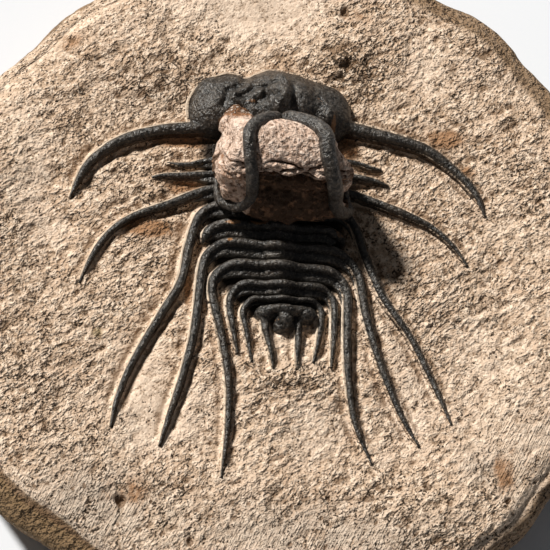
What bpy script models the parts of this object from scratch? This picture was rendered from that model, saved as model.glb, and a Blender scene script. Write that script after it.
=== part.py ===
# A spiny trilobite lying on the rounded slab of limestone it was prepared from.
# Lengths below are in millimetres and become metres where a mesh is made.
# +Z is up, +Y points to the head and +X to the right of a viewer who looks down on it.

import math

import bmesh
import bpy
from mathutils import Matrix, Vector

mm = 0.001

# Slab
slab_half_width = 62.5
slab_half_length = 62.0
slab_spokes = 56
# How far the widest part of the slab reaches from the middle, by angle in degrees
slab_outline = (
    (0.0, 62.5), (20.0, 63.6), (37.0, 64.2), (52.0, 65.3), (63.0, 64.1), (90.0, 62.0),
    (121.0, 60.4), (135.0, 59.1), (145.0, 59.5), (180.0, 62.5), (222.0, 61.6), (238.0, 60.2),
    (270.0, 62.0), (313.0, 60.9), (323.0, 60.5), (360.0, 62.5),
)

# The slab's side from its underside up: (height, how far inside the widest outline)
slab_side = (
    (0.0, 4.6),
    (1.0, 3.4),
    (4.6, 1.3),
    (9.0, 0.0),
    (11.6, 0.7),
    (12.9, 1.7),
    (13.6, 3.2),
)
# Rings of the top surface, as shares of the outline
slab_top_rings = (0.92, 0.85, 0.75, 0.64, 0.52, 0.39, 0.26, 0.13)
chip_depth = 0.55
worn_corner_angle = 227.0
worn_corner_spread = 24.0
worn_corner_depth = 1.3
rim_drop = 0.5

# Relief of the slab's top: a low mound under the body, a shallow basin and an outer ring
mound_height = 15.0
basin_height = 14.2
ring_height = 15.5
mound_centre = (0.5, 14.0)
mound_radii = (20.0, 27.0)
ring_radius = 52.0

# Shell
rest_gap = 0.2
sink = 1.2
segment_gap = 0.3
body_lean = 0.055
lean_pivot = 11.0
axis_half_width = 3.4

# Edge of the head shield, from its left rear corner round the front and back behind the head
head_outline = (
    (-14.9, 26.2), (-15.4, 29.6), (-14.5, 32.4), (-12.2, 34.7), (-9.2, 36.1), (-6.9, 36.2),
    (-5.2, 35.6), (-3.6, 36.4), (-1.2, 37.4), (0.8, 37.3), (3.5, 37.0), (6.0, 36.3), (8.8, 35.4),
    (11.3, 33.8), (12.1, 31.6), (13.1, 29.4), (13.6, 27.0), (10.0, 25.2), (5.0, 24.2), (0.0, 23.6),
    (-4.0, 23.8), (-8.0, 24.6), (-12.0, 24.4),
)
head_ridge_y = 29.9
# How the head shield rises from its edge: (how far inward, height above the mound)
head_rise = ((0.0, 0.6), (0.13, 2.2), (0.36, 3.6), (0.62, 4.5), (0.85, 4.9))
# Swellings of the head: (name, centre, radii)
head_lumps = (
    ("cheek_left", (-10.9, 30.2, 15.4), (3.9, 5.4, 3.6)),
    ("cheek_right", (8.3, 29.9, 15.2), (5.2, 5.6, 4.4)),
    ("glabella", (-0.2, 30.4, 16.0), (3.1, 5.9, 7.4)),
    ("glabella_left", (-3.4, 30.6, 16.0), (2.3, 4.0, 5.4)),
    ("glabella_right", (3.8, 30.3, 15.6), (3.6, 5.2, 6.2)),
    ("neck_ring", (-0.6, 25.2, 17.0), (5.2, 2.3, 6.6)),
    ("eye_left", (-7.6, 30.3, 19.3), (1.25, 1.25, 1.7)),
    ("eye_right", (8.6, 28.6, 18.6), (1.5, 2.0, 2.0)),
)
# The gap behind the left eye, between the cheek and the middle of the head
cheek_gap = ((-7.3, 25.0, 18.3), (2.4, 4.0, 7.5))
genal_left = ((-35.3, 11.9), (-33.3, 16.6), (-30.7, 20.0), (-26.5, 22.9), (-20.5, 24.8),
              (-15.7, 25.5), (-11.5, 26.0))
genal_right = ((37.2, 13.2), (35.2, 17.6), (31.5, 21.4), (26.4, 24.7), (20.2, 26.3),
               (14.9, 27.2), (10.5, 28.0))
genal_left_width = 2.0
genal_right_width = 2.3

# Tail shield: stations of its band (x, y, width, height), its swellings and its two spines
tail_band = (
    (-3.2, -7.2, 1.2, 1.5),
    (-1.9, -6.75, 1.5, 2.1),
    (-0.6, -6.75, 1.6, 2.8),
    (1.2, -6.75, 1.6, 3.1),
    (3.0, -6.75, 1.6, 2.8),
    (4.9, -6.75, 1.6, 2.3),
    (6.3, -7.1, 1.3, 1.5),
)
tail_lumps = (
    ("tail_axis", (1.5, -8.2, 15.1), (1.6, 2.1, 2.6)),
    ("tail_lobe_left", (-1.6, -7.4, 15.0), (1.7, 1.2, 1.8)),
    ("tail_lobe_right", (5.2, -7.4, 15.0), (1.6, 1.4, 2.1)),
)
tail_spines = (
    ("tail_spine_left", ((-0.3, -16.9), (-0.8, -13.6), (-1.7, -10.4), (-2.2, -7.1))),
    ("tail_spine_right", ((3.7, -16.7), (3.8, -13.3), (3.9, -10.1), (4.0, -7.1))),
)
tail_spine_width = 1.2

# Curled horns: a loop that stands over the thorax
horn_centre_y = 18.3
horn_centre_z = 24.9
horn_thickness = {-1: 2.25, 1: 2.75}  # left and right
horn_tip_thickness = 0.7
# The turn is in degrees from the front over the top: (turn, how far the horns stand apart / 2)
horn_spread = ((-25.0, 1.0), (15.0, 1.1), (88.0, 6.6), (190.0, 7.1), (262.0, 11.2), (300.0, 10.9))
# (turn, radius of the loop)
horn_loop = ((-25.0, 5.7), (30.0, 6.0), (80.0, 6.6), (130.0, 6.6), (190.0, 7.2), (222.0, 7.5),
             (250.0, 6.8), (300.0, 6.5))
# (turn, how far both stand to the right)
horn_shift = ((-25.0, -0.9), (90.0, -0.6), (190.0, 1.6), (250.0, 0.6), (300.0, -0.4))
core_radius = 6.3
core_half_width = 11.7
core_middle_x = -0.2
# Fullness of the barrel from its middle to its end: (share of half width, share of radius)
core_shape = ((0.0, 1.06), (0.3, 1.05), (0.6, 1.03), (0.8, 1.0), (0.92, 0.93), (0.98, 0.75),
              (1.0, 0.45))
# How far the barrel reaches to each side: (turn, share of half width)
core_reach_left = ((0.0, 0.84), (90.0, 0.8), (180.0, 0.98), (270.0, 1.0), (360.0, 0.84))
core_reach_right = ((0.0, 0.55), (60.0, 0.58), (90.0, 0.68), (130.0, 0.86), (165.0, 0.94),
                    (270.0, 0.95), (360.0, 0.55))
# Stone in the gap behind the left eye: centre and radii
core_tongue = ((-7.5, 25.5, 20.0), (2.6, 2.9, 2.8))
# (turn, share of the radius)
core_girth = ((0.0, 0.87), (30.0, 0.88), (75.0, 1.0), (300.0, 1.0), (360.0, 0.87))
# The foot of the barrel: (x, how far behind and below the horns' centre, radius)
core_foot = ((-10.7, 3.9, 2.6, 2.4), (-9.6, 3.9, 2.6, 3.8), (-6.4, 4.0, 2.8, 4.2), (-4.0, 5.5, 4.0, 4.4),
             (1.5, 5.9, 4.2, 4.5), (6.9, 5.5, 4.0, 4.4), (9.0, 4.0, 2.8, 3.9), (10.5, 3.9, 2.6, 2.2))
# Room left below the stone for the thorax, and in front of it for the back of the head
arch_size = (13.0, 40.0, 4.75)
head_room = ((-0.6, 25.0, 17.0), (5.5, 2.6, 6.9))


# Where the middle line of the body runs, for a place along it
def middle(y):
    return body_lean * (lean_pivot - y)


def blend(low, high, value):
    share = min(max((value - low) / (high - low), 0.0), 1.0)
    return share * share * (3.0 - 2.0 * share)


def mix(first, second, share):
    return first + (second - first) * share


# A smooth curve through chosen points, read at a position counted in points
def smooth_through(points, position):
    last = len(points) - 1
    index = min(int(position), last - 1)
    share = position - index
    before = points[max(index - 1, 0)]
    start = points[index]
    end = points[index + 1]
    after = points[min(index + 2, last)]
    result = []
    for a, b, c, d in zip(before, start, end, after):
        slope_in = (c - a) / 2.0
        slope_out = (d - b) / 2.0
        bend = 2.0 * b - 2.0 * c + slope_in + slope_out
        ease = 3.0 * (c - b) - 2.0 * slope_in - slope_out
        result.append(((bend * share + ease) * share + slope_in) * share + b)
    return result


def resample(points, steps_between):
    count = (len(points) - 1) * steps_between
    return [smooth_through(points, step / steps_between) for step in range(count + 1)]


def clear_scene():
    for item in list(bpy.data.objects):
        bpy.data.objects.remove(item, do_unlink=True)


def new_collection(name):
    group = bpy.data.collections.new(name)
    bpy.context.scene.collection.children.link(group)
    return group


def new_material(name, colour, roughness):
    material = bpy.data.materials.new(name)
    material.use_nodes = True
    shader = material.node_tree.nodes["Principled BSDF"]
    shader.inputs["Base Color"].default_value = (*colour, 1.0)
    shader.inputs["Roughness"].default_value = roughness
    shader.inputs["Metallic"].default_value = 0.0
    return material


def new_object(name, mesh, group, material=None):
    item = bpy.data.objects.new(name, mesh)
    group.objects.link(item)
    if material is not None:
        mesh.materials.append(material)
    else:
        item.hide_render = True
        item.display_type = "WIRE"
    return item


# A mesh from points in millimetres, with its faces turned outward
def mesh_from(name, points, faces, sharp_angle=40.0):
    mesh = bpy.data.meshes.new(name)
    mesh.from_pydata([(x * mm, y * mm, z * mm) for x, y, z in points], [], faces)
    form = bmesh.new()
    form.from_mesh(mesh)
    bmesh.ops.recalc_face_normals(form, faces=form.faces)
    form.to_mesh(mesh)
    form.free()
    mesh.shade_smooth()
    mesh.set_sharp_from_angle(angle=math.radians(sharp_angle))
    return mesh


# A closed skin over rings that all have the same number of points
def skin(name, rings, sharp_angle=40.0):
    points = [point for ring in rings for point in ring]
    size = len(rings[0])
    faces = []
    for row in range(len(rings) - 1):
        for column in range(size):
            following = (column + 1) % size
            low = row * size
            high = low + size
            faces.append((low + column, low + following, high + following, high + column))
    faces.append(tuple(range(size)))
    first_of_last = len(points) - size
    peak = [sum(values) / size for values in zip(*rings[-1])]
    points.append(peak)
    for column in range(size):
        following = (column + 1) % size
        faces.append((first_of_last + column, first_of_last + following, len(points) - 1))
    return mesh_from(name, points, faces, sharp_angle)


# Height of the slab's top surface before its edge falls away
def ground(x, y):
    across = (x - mound_centre[0]) / mound_radii[0]
    along = (y - mound_centre[1]) / mound_radii[1]
    off_mound = blend(1.0, 1.9, math.hypot(across, along))
    low = mix(mound_height, basin_height, off_mound)
    out = blend(ring_radius - 14.0, ring_radius, math.hypot(x, y))
    lumps = 0.22 * math.sin(0.23 * x + 1.3) * math.cos(0.19 * y - 0.4) * off_mound
    return mix(low, ring_height, out) + lumps


# A value that changes evenly between the entries of a short list
def read_table(entries, key):
    for (low_key, low), (high_key, high) in zip(entries, entries[1:]):
        if key <= high_key:
            return mix(low, high, blend(low_key, high_key, key))
    return entries[-1][1]


# The slab's outline: round, with flatter stretches at the upper left and at both lower corners
def slab_reach(angle):
    return read_table(slab_outline, math.degrees(angle) % 360.0) + 0.15 * math.sin(23.0 * angle)


# How much deeper than elsewhere the upper edge is worn, at the lower left corner
def worn_corner(angle):
    off_corner = (math.degrees(angle) - worn_corner_angle) / worn_corner_spread
    return worn_corner_depth * math.exp(-off_corner ** 2)


def slab_rings():
    angles = [math.tau * spoke / slab_spokes for spoke in range(slab_spokes)]
    upper_edge = slab_side[-1][0]
    rings = []
    for height, inset in slab_side:
        ring = []
        for angle in angles:
            chip = chip_depth * math.sin(5.0 * angle + height) * math.sin(11.0 * angle + 2.0 * height)
            wear = worn_corner(angle) * blend(10.0, upper_edge, height)
            reach = slab_reach(angle) - inset - wear - chip
            ring.append((reach * math.cos(angle), reach * math.sin(angle), height))
        rings.append(ring)
    for share in slab_top_rings:
        ring = []
        for angle in angles:
            reach = share * slab_reach(angle)
            x = reach * math.cos(angle)
            y = reach * math.sin(angle)
            edge = rim_drop * blend(0.86, 0.94, share)
            ring.append((x, y, ground(x, y) - edge))
        rings.append(ring)
    return rings


# Each side of the outline is stretched a hair, so the slab's box is centred on the origin
def centre_rings(rings):
    points = [point for ring in rings for point in ring]
    right = slab_half_width / max(x for x, y, z in points)
    left = slab_half_width / -min(x for x, y, z in points)
    front = slab_half_length / max(y for x, y, z in points)
    back = slab_half_length / -min(y for x, y, z in points)
    return [
        [(x * (right if x > 0 else left), y * (front if y > 0 else back), z) for x, y, z in ring]
        for ring in rings
    ]


# Half sections, from one foot over the top to the other: (share of width, share of height)
spine_arch = ((0.5, 0.0), (0.46, 0.55), (0.27, 0.92), (0.0, 1.0), (-0.27, 0.92), (-0.46, 0.55),
              (-0.5, 0.0))
# A plate has a raised ridge, and behind it a lower shelf that runs to the next plate
plate_arch = ((0.5, 0.0), (0.5, 0.66), (0.28, 1.0), (-0.12, 0.98), (-0.26, 0.72), (-0.5, 0.62),
              (-0.5, 0.0))


# A band or spine that lies on the slab: an arch swept along stations
# of (x, y, width, height above the slab), with its foot sunk below the surface
def lying_band(name, stations, arch=spine_arch):
    rings = []
    last = len(stations) - 1
    for index, (x, y, width, height) in enumerate(stations):
        before = stations[max(index - 1, 0)]
        after = stations[min(index + 1, last)]
        heading = Vector((after[0] - before[0], after[1] - before[1])).normalized()
        side = Vector((-heading.y, heading.x))
        base = ground(x, y)
        ring = []
        for across, rise in arch:
            out = across * width
            ring.append((x + side.x * out, y + side.y * out, base + rise * height))
        for end in (-0.5, 0.5):
            out = end * width
            ring.append((x + side.x * out, y + side.y * out, base - sink))
        rings.append(ring)
    return skin(name, rings)


# A round bar along a route, as a curve whose thickness changes from point to point
def round_bar(name, route, radii, group, sides=2):
    curve = bpy.data.curves.new(name, "CURVE")
    curve.dimensions = "3D"
    curve.bevel_depth = mm
    curve.bevel_resolution = sides
    curve.use_fill_caps = True
    line = curve.splines.new("POLY")
    line.points.add(len(route) - 1)
    for point, (x, y, z), radius in zip(line.points, route, radii):
        point.co = (x * mm, y * mm, z * mm, 1.0)
        point.radius = radius
    source = bpy.data.objects.new(name + "_route", curve)
    group.objects.link(source)
    bpy.context.view_layer.update()
    view = bpy.context.evaluated_depsgraph_get()
    mesh = bpy.data.meshes.new_from_object(source.evaluated_get(view))
    bpy.data.objects.remove(source, do_unlink=True)
    form = bmesh.new()
    form.from_mesh(mesh)
    bmesh.ops.remove_doubles(form, verts=form.verts, dist=0.001 * mm)
    bmesh.ops.recalc_face_normals(form, faces=form.faces)
    form.to_mesh(mesh)
    form.free()
    mesh.name = name
    mesh.shade_smooth()
    return mesh


# An egg-shaped lump with its centre and three radii in millimetres
def lump(name, centre, radii, around=16, rows=9):
    form = bmesh.new()
    bmesh.ops.create_uvsphere(form, u_segments=around, v_segments=rows, radius=1.0)
    bmesh.ops.scale(form, vec=[radius * mm for radius in radii], verts=form.verts)
    bmesh.ops.translate(form, vec=[place * mm for place in centre], verts=form.verts)
    mesh = bpy.data.meshes.new(name)
    form.to_mesh(mesh)
    form.free()
    mesh.shade_smooth()
    return mesh


def combine(item, other, operation):
    step = item.modifiers.new(operation.lower() + "_" + other.name, "BOOLEAN")
    step.operation = operation
    step.solver = "EXACT"
    step.object = other


# The left and right spines of the thorax plates, from tip to root, and the place of each plate.
# A spine's points are (x, y); its width is at the root, and it thins to the tip.
plates = (
    {
        "axis_y": 19.6,
        "left_y": 20.1,
        "right_y": 20.9,
        "band": 2.5,
        "crest": 3.9,
        "axis_share": 1.0,
        "left": ((-18.8, 19.3), (-17.0, 19.0), (-14.9, 19.1), (-13.2, 19.6), (-11.6, 20.0)),
        "right": ((18.7, 20.4), (16.9, 20.7), (15.0, 21.2), (13.0, 21.5), (11.5, 21.4)),
        "spine": 0.9,
    },
    {
        "axis_y": 16.7,
        "left_y": 17.4,
        "right_y": 18.0,
        "band": 2.6,
        "crest": 4.0,
        "axis_share": 1.0,
        "left": ((-21.4, 16.4), (-19.2, 16.8), (-16.6, 16.9), (-14.0, 17.2), (-11.8, 17.4)),
        "right": ((19.9, 17.5), (18.3, 18.0), (16.2, 18.4), (13.9, 18.6), (11.8, 18.5)),
        "spine": 1.2,
    },
    {
        "axis_y": 13.7,
        "left_y": 14.6,
        "right_y": 14.9,
        "band": 2.7,
        "crest": 4.1,
        "axis_share": 1.0,
        "left": ((-33.3, -3.2), (-30.9, 2.3), (-28.1, 6.3), (-24.2, 9.1), (-18.5, 11.5), (-14.3, 13.5),
                 (-11.4, 14.6)),
        "right": ((33.8, 3.8), (31.2, 7.2), (27.5, 10.3), (23.2, 12.2), (18.2, 13.9), (14.0, 15.2),
                  (11.6, 15.4)),
        "spine": 1.5,
    },
    {
        "axis_y": 10.5,
        "left_y": 11.3,
        "right_y": 11.8,
        "band": 2.9,
        "crest": 4.2,
        "axis_share": 1.0,
        "left": ((-27.5, -28.2), (-26.5, -23.2), (-24.0, -16.6), (-19.4, -8.1), (-16.3, -2.4),
                 (-14.9, 4.4), (-13.4, 9.2), (-11.3, 11.3)),
        "right": ((30.3, -24.9), (27.8, -18.9), (23.5, -10.2), (18.7, -3.3), (15.7, 3.6),
                  (14.0, 8.8), (11.6, 11.9)),
        "spine": 1.6,
    },
    {
        "axis_y": 7.1,
        "left_y": 7.8,
        "right_y": 7.6,
        "band": 3.0,
        "crest": 4.4,
        "axis_share": 1.0,
        "left": ((-12.5, 4.9), (-12.1, 6.1), (-11.1, 7.3)),
        "right": ((11.9, 5.7), (11.5, 6.6), (10.7, 7.3)),
        "spine": 1.7,
    },
    {
        "axis_y": 3.7,
        "left_y": 4.4,
        "right_y": 4.0,
        "band": 3.0,
        "crest": 4.4,
        "axis_share": 1.0,
        "left": ((-19.3, -30.9), (-17.6, -25.1), (-15.5, -18.1), (-13.9, -11.0), (-13.1, -4.3),
                 (-12.4, 1.2), (-10.7, 3.9)),
        "right": ((24.7, -29.1), (21.5, -23.6), (17.9, -14.8), (15.5, -6.2), (14.4, 0.2),
                  (12.4, 3.2)),
        "spine": 1.6,
    },
    {
        "axis_y": 0.3,
        "left_y": 0.7,
        "right_y": 0.3,
        "band": 2.9,
        "crest": 4.2,
        "axis_share": 1.0,
        "left": ((-8.9, -35.9), (-8.0, -27.2), (-8.0, -19.1), (-9.4, -10.8), (-10.9, -4.2),
                 (-10.6, -1.4), (-9.2, 0.2)),
        "right": ((16.6, -32.4), (13.6, -25.4), (12.4, -17.0), (12.3, -8.5), (12.4, -3.6),
                  (11.3, -0.6)),
        "spine": 1.6,
    },
    {
        "axis_y": -2.9,
        "left_y": -2.7,
        "right_y": -2.6,
        "band": 2.5,
        "crest": 3.8,
        "axis_share": 0.9,
        "left": ((-6.4, -14.4), (-7.4, -9.6), (-7.9, -5.4), (-7.0, -3.3)),
        "right": ((9.6, -16.0), (10.0, -10.4), (10.1, -5.2), (9.0, -3.0)),
        "spine": 1.3,
    },
    {
        "axis_y": -5.05,
        "left_y": -5.0,
        "right_y": -4.8,
        "band": 1.35,
        "crest": 3.3,
        "axis_share": 0.8,
        "left": ((-4.0, -15.7), (-4.9, -10.8), (-5.6, -7.3), (-4.9, -5.7)),
        "right": ((6.5, -15.4), (7.6, -10.2), (7.9, -6.7), (7.2, -5.3)),
        "spine": 1.1,
    },
)


# Stations of a free spine, growing from its tip to its root
def spine_stations(route, root_width):
    stations = []
    last = len(route) - 1
    for index, (x, y) in enumerate(route):
        growth = math.sqrt(index / last)
        width = mix(0.5, root_width, min(growth * 1.15, 1.0))
        height = mix(0.5, 0.85 * root_width + 0.25, growth)
        stations.append((x, y, width, height))
    return stations


# One plate: left spine, left flank, arched middle, right flank and right spine in one band
def plate_stations(plate):
    y = plate["axis_y"]
    centre = middle(y)
    crest = plate["crest"]
    band = plate["band"]
    left = spine_stations(plate["left"], plate["spine"])
    right = spine_stations(plate["right"], plate["spine"])
    flank = 0.62 * crest
    left_foot = centre - axis_half_width * plate["axis_share"]
    right_foot = centre + axis_half_width * plate["axis_share"]
    left_fold = mix(left[-1][0], left_foot, 0.4)
    right_fold = mix(right[-1][0], right_foot, 0.4)
    arch = [
        (left_fold, plate["left_y"], band, 0.92 * flank),
        (left_foot, mix(plate["left_y"], y, 0.7), band, 0.98 * flank),
        (left_foot + 1.3, mix(plate["left_y"], y, 0.9), band, 0.9 * crest),
        (centre, y, band, crest),
        (right_foot - 1.3, mix(plate["right_y"], y, 0.9), band, 0.9 * crest),
        (right_foot, mix(plate["right_y"], y, 0.7), band, 0.98 * flank),
        (right_fold, plate["right_y"], band, 0.92 * flank),
    ]
    return left + resample(arch, 2) + right[::-1]


# The route of one curled horn: up over the loop, down its back and round below to the front,
# while it moves outward. Side is -1 for the left horn and 1 for the right.
def horn_route(side):
    start = horn_spread[0][0]
    finish = horn_spread[-1][0]
    steps = 22
    route = []
    radii = []
    for step in range(steps + 1):
        share = step / steps
        degrees = mix(start, finish, share)
        angle = math.radians(degrees)
        x = read_table(horn_shift, degrees) + side * read_table(horn_spread, degrees)
        loop = read_table(horn_loop, degrees)
        y = horn_centre_y + loop * math.cos(angle)
        z = horn_centre_z + loop * math.sin(angle)
        route.append((x, y, z))
        radii.append(0.5 * mix(horn_thickness[side], horn_tip_thickness, blend(0.58, 0.88, share)))
    return route, radii


def build_slab(group, material):
    mesh = skin("matrix_slab", centre_rings(slab_rings()), 30.0)
    return new_object("matrix_slab", mesh, group, material)


# The slab's form raised by the resting gap: what every piece of shell is cut to
def build_seat(slab, group):
    mesh = slab.data.copy()
    mesh.name = "seat"
    mesh.materials.clear()
    seat = new_object("seat", mesh, group)
    seat.location.z = rest_gap * mm
    return seat


def build_plate(number, plate, group, material, seat):
    name = f"thorax_segment_{number}"
    mesh = lying_band(name, plate_stations(plate), plate_arch)
    item = new_object(name, mesh, group, material)
    combine(item, seat, "DIFFERENCE")
    return item


def build_pygidium(group, cutters, material, seat):
    mesh = lying_band("pygidium", resample(tail_band, 2))
    item = new_object("pygidium", mesh, group, material)
    for name, route in tail_spines:
        spine = lying_band(name, resample(spine_stations(route, tail_spine_width), 2))
        combine(item, new_object(name, spine, cutters), "UNION")
    for name, centre, radii in tail_lumps:
        combine(item, new_object(name, lump(name, centre, radii, 14, 8), cutters), "UNION")
    combine(item, seat, "DIFFERENCE")
    return item


# The head shield without its lumps: a low dome that rises from the outline of the head
def head_shield():
    rings = []
    for inset, rise in ((0.0, -sink),) + head_rise:
        ring = []
        for x, y in head_outline:
            inner_x = x * (1.0 - 0.4 * inset)
            inner_y = mix(y, head_ridge_y, inset)
            taller = 1.0 + 0.35 * math.exp(-(inner_x / 5.0) ** 2)
            ring.append((inner_x, inner_y, mound_height + rise * (taller if rise > 0.0 else 1.0)))
        rings.append(ring)
    return skin("cephalon", rings)


def build_cephalon(group, cutters, material, seat):
    item = new_object("cephalon", head_shield(), group, material)
    gap = lump("cheek_gap", *cheek_gap, 14, 9)
    combine(item, new_object("cheek_gap", gap, cutters), "DIFFERENCE")
    parts = [(name, lump(name, centre, radii)) for name, centre, radii in head_lumps]
    left = resample(spine_stations(genal_left, genal_left_width), 2)
    right = resample(spine_stations(genal_right, genal_right_width), 2)
    parts.append(("genal_spine_left", lying_band("genal_spine_left", left)))
    parts.append(("genal_spine_right", lying_band("genal_spine_right", right)))
    for side, name in ((-1, "horn_left"), (1, "horn_right")):
        route, radii = horn_route(side)
        parts.append((name, round_bar(name, route, radii, cutters)))
    for name, part in parts:
        combine(item, new_object(name, part, cutters), "UNION")
    centre, radii = core_tongue
    room = lump("tongue_room", centre, [radius + segment_gap for radius in radii], 12, 7)
    combine(item, new_object("tongue_room", room, cutters), "DIFFERENCE")
    combine(item, seat, "DIFFERENCE")
    return item


# Draws in the barrel where less stone is left
def taper_barrel(mesh):
    for vertex in mesh.vertices:
        x, y, z = vertex.co / mm
        turn = math.degrees(math.atan2(z - horn_centre_z, y - horn_centre_y)) % 360.0
        reach = core_reach_left if x < 0.0 else core_reach_right
        girth = read_table(core_girth, turn)
        vertex.co = Vector((
            x * read_table(reach, turn),
            mix(horn_centre_y, y, girth),
            mix(horn_centre_z, z, girth),
        )) * mm


# The stone left inside the horns: a barrel, grooved where the horns lie in it
# and hollowed below where it sits on the thorax
def build_core(group, cutters, material):
    route = []
    radii = []
    for share, fullness in core_shape[::-1] + core_shape[1:]:
        side = -1.0 if len(route) < len(core_shape) else 1.0
        route.append((core_middle_x + side * share * core_half_width, horn_centre_y, horn_centre_z))
        radii.append(core_radius * fullness)
    mesh = round_bar("horn_core_stone", route, radii, cutters, 6)
    taper_barrel(mesh)
    item = new_object("horn_core_stone", mesh, group, material)
    tongue = lump("core_tongue", *core_tongue, 12, 7)
    combine(item, new_object("core_tongue", tongue, cutters), "UNION")
    foot_route = [(x, horn_centre_y - rear, horn_centre_z - low) for x, rear, low, radius in core_foot]
    foot = round_bar("core_foot", foot_route, [station[3] for station in core_foot], cutters, 4)
    combine(item, new_object("core_foot", foot, cutters), "UNION")
    for side, name in ((-1, "groove_left"), (1, "groove_right")):
        path, thickness = horn_route(side)
        wide = [radius + segment_gap for radius in thickness]
        groove = new_object(name, round_bar(name, path, wide, cutters), cutters)
        combine(item, groove, "DIFFERENCE")
    combine(item, new_object("thorax_arch", thorax_arch(), cutters), "DIFFERENCE")
    room = lump("head_room", *head_room)
    combine(item, new_object("head_room", room, cutters), "DIFFERENCE")
    return item


# A long arched bar just over the thorax, which hollows the underside of the stone
def thorax_arch():
    form = bmesh.new()
    bmesh.ops.create_cone(form, cap_ends=True, segments=32, radius1=1.0, radius2=1.0, depth=1.0)
    bmesh.ops.rotate(form, verts=form.verts, matrix=Matrix.Rotation(math.radians(90.0), 3, "X"))
    bmesh.ops.scale(form, vec=[size * mm for size in arch_size], verts=form.verts)
    place = (middle(horn_centre_y), horn_centre_y, mound_height)
    bmesh.ops.translate(form, vec=[value * mm for value in place], verts=form.verts)
    mesh = bpy.data.meshes.new("thorax_arch")
    form.to_mesh(mesh)
    form.free()
    return mesh


def build():
    clear_scene()
    group = new_collection("trilobite_fossil")
    cutters = new_collection("cutters")
    limestone = new_material("limestone", (0.62, 0.48, 0.34), 0.95)
    shell = new_material("shell", (0.035, 0.032, 0.03), 0.45)
    pink_stone = new_material("pink_stone", (0.58, 0.40, 0.31), 0.95)
    slab = build_slab(group, limestone)
    seat = build_seat(slab, cutters)
    build_cephalon(group, cutters, shell, seat)
    for number, plate in enumerate(plates, 1):
        build_plate(number, plate, group, shell, seat)
    build_pygidium(group, cutters, shell, seat)
    build_core(group, cutters, pink_stone)


build()
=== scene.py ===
import math

import bmesh
import bpy
import numpy as np
from mathutils import Matrix, Vector


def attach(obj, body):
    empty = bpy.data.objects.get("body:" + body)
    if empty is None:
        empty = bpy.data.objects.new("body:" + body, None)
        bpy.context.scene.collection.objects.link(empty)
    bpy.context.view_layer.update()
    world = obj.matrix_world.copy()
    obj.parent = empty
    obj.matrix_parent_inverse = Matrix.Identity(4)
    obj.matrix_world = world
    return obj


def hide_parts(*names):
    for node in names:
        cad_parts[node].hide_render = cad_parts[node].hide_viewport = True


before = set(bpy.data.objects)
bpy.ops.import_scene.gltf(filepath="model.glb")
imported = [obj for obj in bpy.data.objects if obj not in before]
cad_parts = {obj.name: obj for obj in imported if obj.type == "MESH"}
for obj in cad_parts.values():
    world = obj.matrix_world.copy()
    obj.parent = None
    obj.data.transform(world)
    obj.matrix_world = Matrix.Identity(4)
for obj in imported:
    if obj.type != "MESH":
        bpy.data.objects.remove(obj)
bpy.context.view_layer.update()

# Everything below is in millimetres and becomes metres where a mesh is made.
mm = 0.001
far = 99.0  # more than any gap that counts


def ease(low, high, value):
    share = np.clip((value - low) / (high - low), 0, 1)
    return share * share * (3 - 2 * share)


def fall(low, high, value):
    return 1 - ease(low, high, value)


# 1 between the inner two of four limits and 0 beyond the outer two
def within(limits, value):
    start, full, fade, end = limits
    return ease(start, full, value) * fall(fade, end, value)


def bell(gap, width):
    return np.exp(-(gap / width) ** 2)


def mix(first, second, share):
    return first + (second - first) * share


# Eased steps between the entries of a short list of (key, value)
def easedTable(entries, key):
    keys = np.array([entry[0] for entry in entries])
    values = np.array([entry[1] for entry in entries])
    index = np.clip(np.searchsorted(keys, key, side="right") - 1, 0, len(keys) - 2)
    return mix(values[index], values[index + 1], ease(keys[index], keys[index + 1], key))


# A fixed value between -1 and 1 for each whole-numbered cell; the large numbers only stir it
def cellValue(cells, seed):
    mixed = cells[:, 0] * 73856093 ^ cells[:, 1] * 19349663 ^ cells[:, 2] * 83492791
    mixed = (mixed ^ seed * 2654435761) & 0xFFFFFFFF
    mixed = ((mixed ^ mixed >> 15) * 2246822519) & 0xFFFFFFFF
    mixed = ((mixed ^ mixed >> 13) * 3266489917) & 0xFFFFFFFF
    return (mixed ^ mixed >> 16) / 2147483648 - 1


def noise(points, size, seed):
    scaled = points / size
    cells = np.floor(scaled).astype(np.int64)
    part = scaled - cells
    part = part * part * (3 - 2 * part)
    total = np.zeros(len(points))
    for corner in range(8):
        step = np.array((corner & 1, corner >> 1 & 1, corner >> 2))
        weight = np.prod(np.where(step == 1, part, 1 - part), axis=1)
        total += weight * cellValue(cells + step, seed)
    return total


# Noise in several rounds, each about half as large as the last
def fractal(points, size, seed, rounds=4, gain=0.55, finer=2.03):
    total = np.zeros(len(points))
    strength = 1
    whole = 0
    for turn in range(rounds):
        total += strength * noise(points, size / finer ** turn, seed + turn)
        whole += strength
        strength *= gain
    return total / whole


# Distance to the nearest of many scattered spots, in cells, and a value of that spot
def spots(points, size, seed, wander=0.42):
    scaled = points / size
    scaled[:, 2] = 0.5
    cells = np.floor(scaled).astype(np.int64)
    nearest = np.full(len(points), far)
    value = np.zeros(len(points))
    for across in (-1, 0, 1):
        for along in (-1, 0, 1):
            near = cells + np.array((across, along, 0))
            gapX = near[:, 0] + 0.5 + wander * cellValue(near, seed) - scaled[:, 0]
            gapY = near[:, 1] + 0.5 + wander * cellValue(near, seed + 1) - scaled[:, 1]
            gap = np.hypot(gapX, gapY)
            closer = gap < nearest
            nearest = np.where(closer, gap, nearest)
            value = np.where(closer, cellValue(near, seed + 2), value)
    return nearest, value


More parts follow.
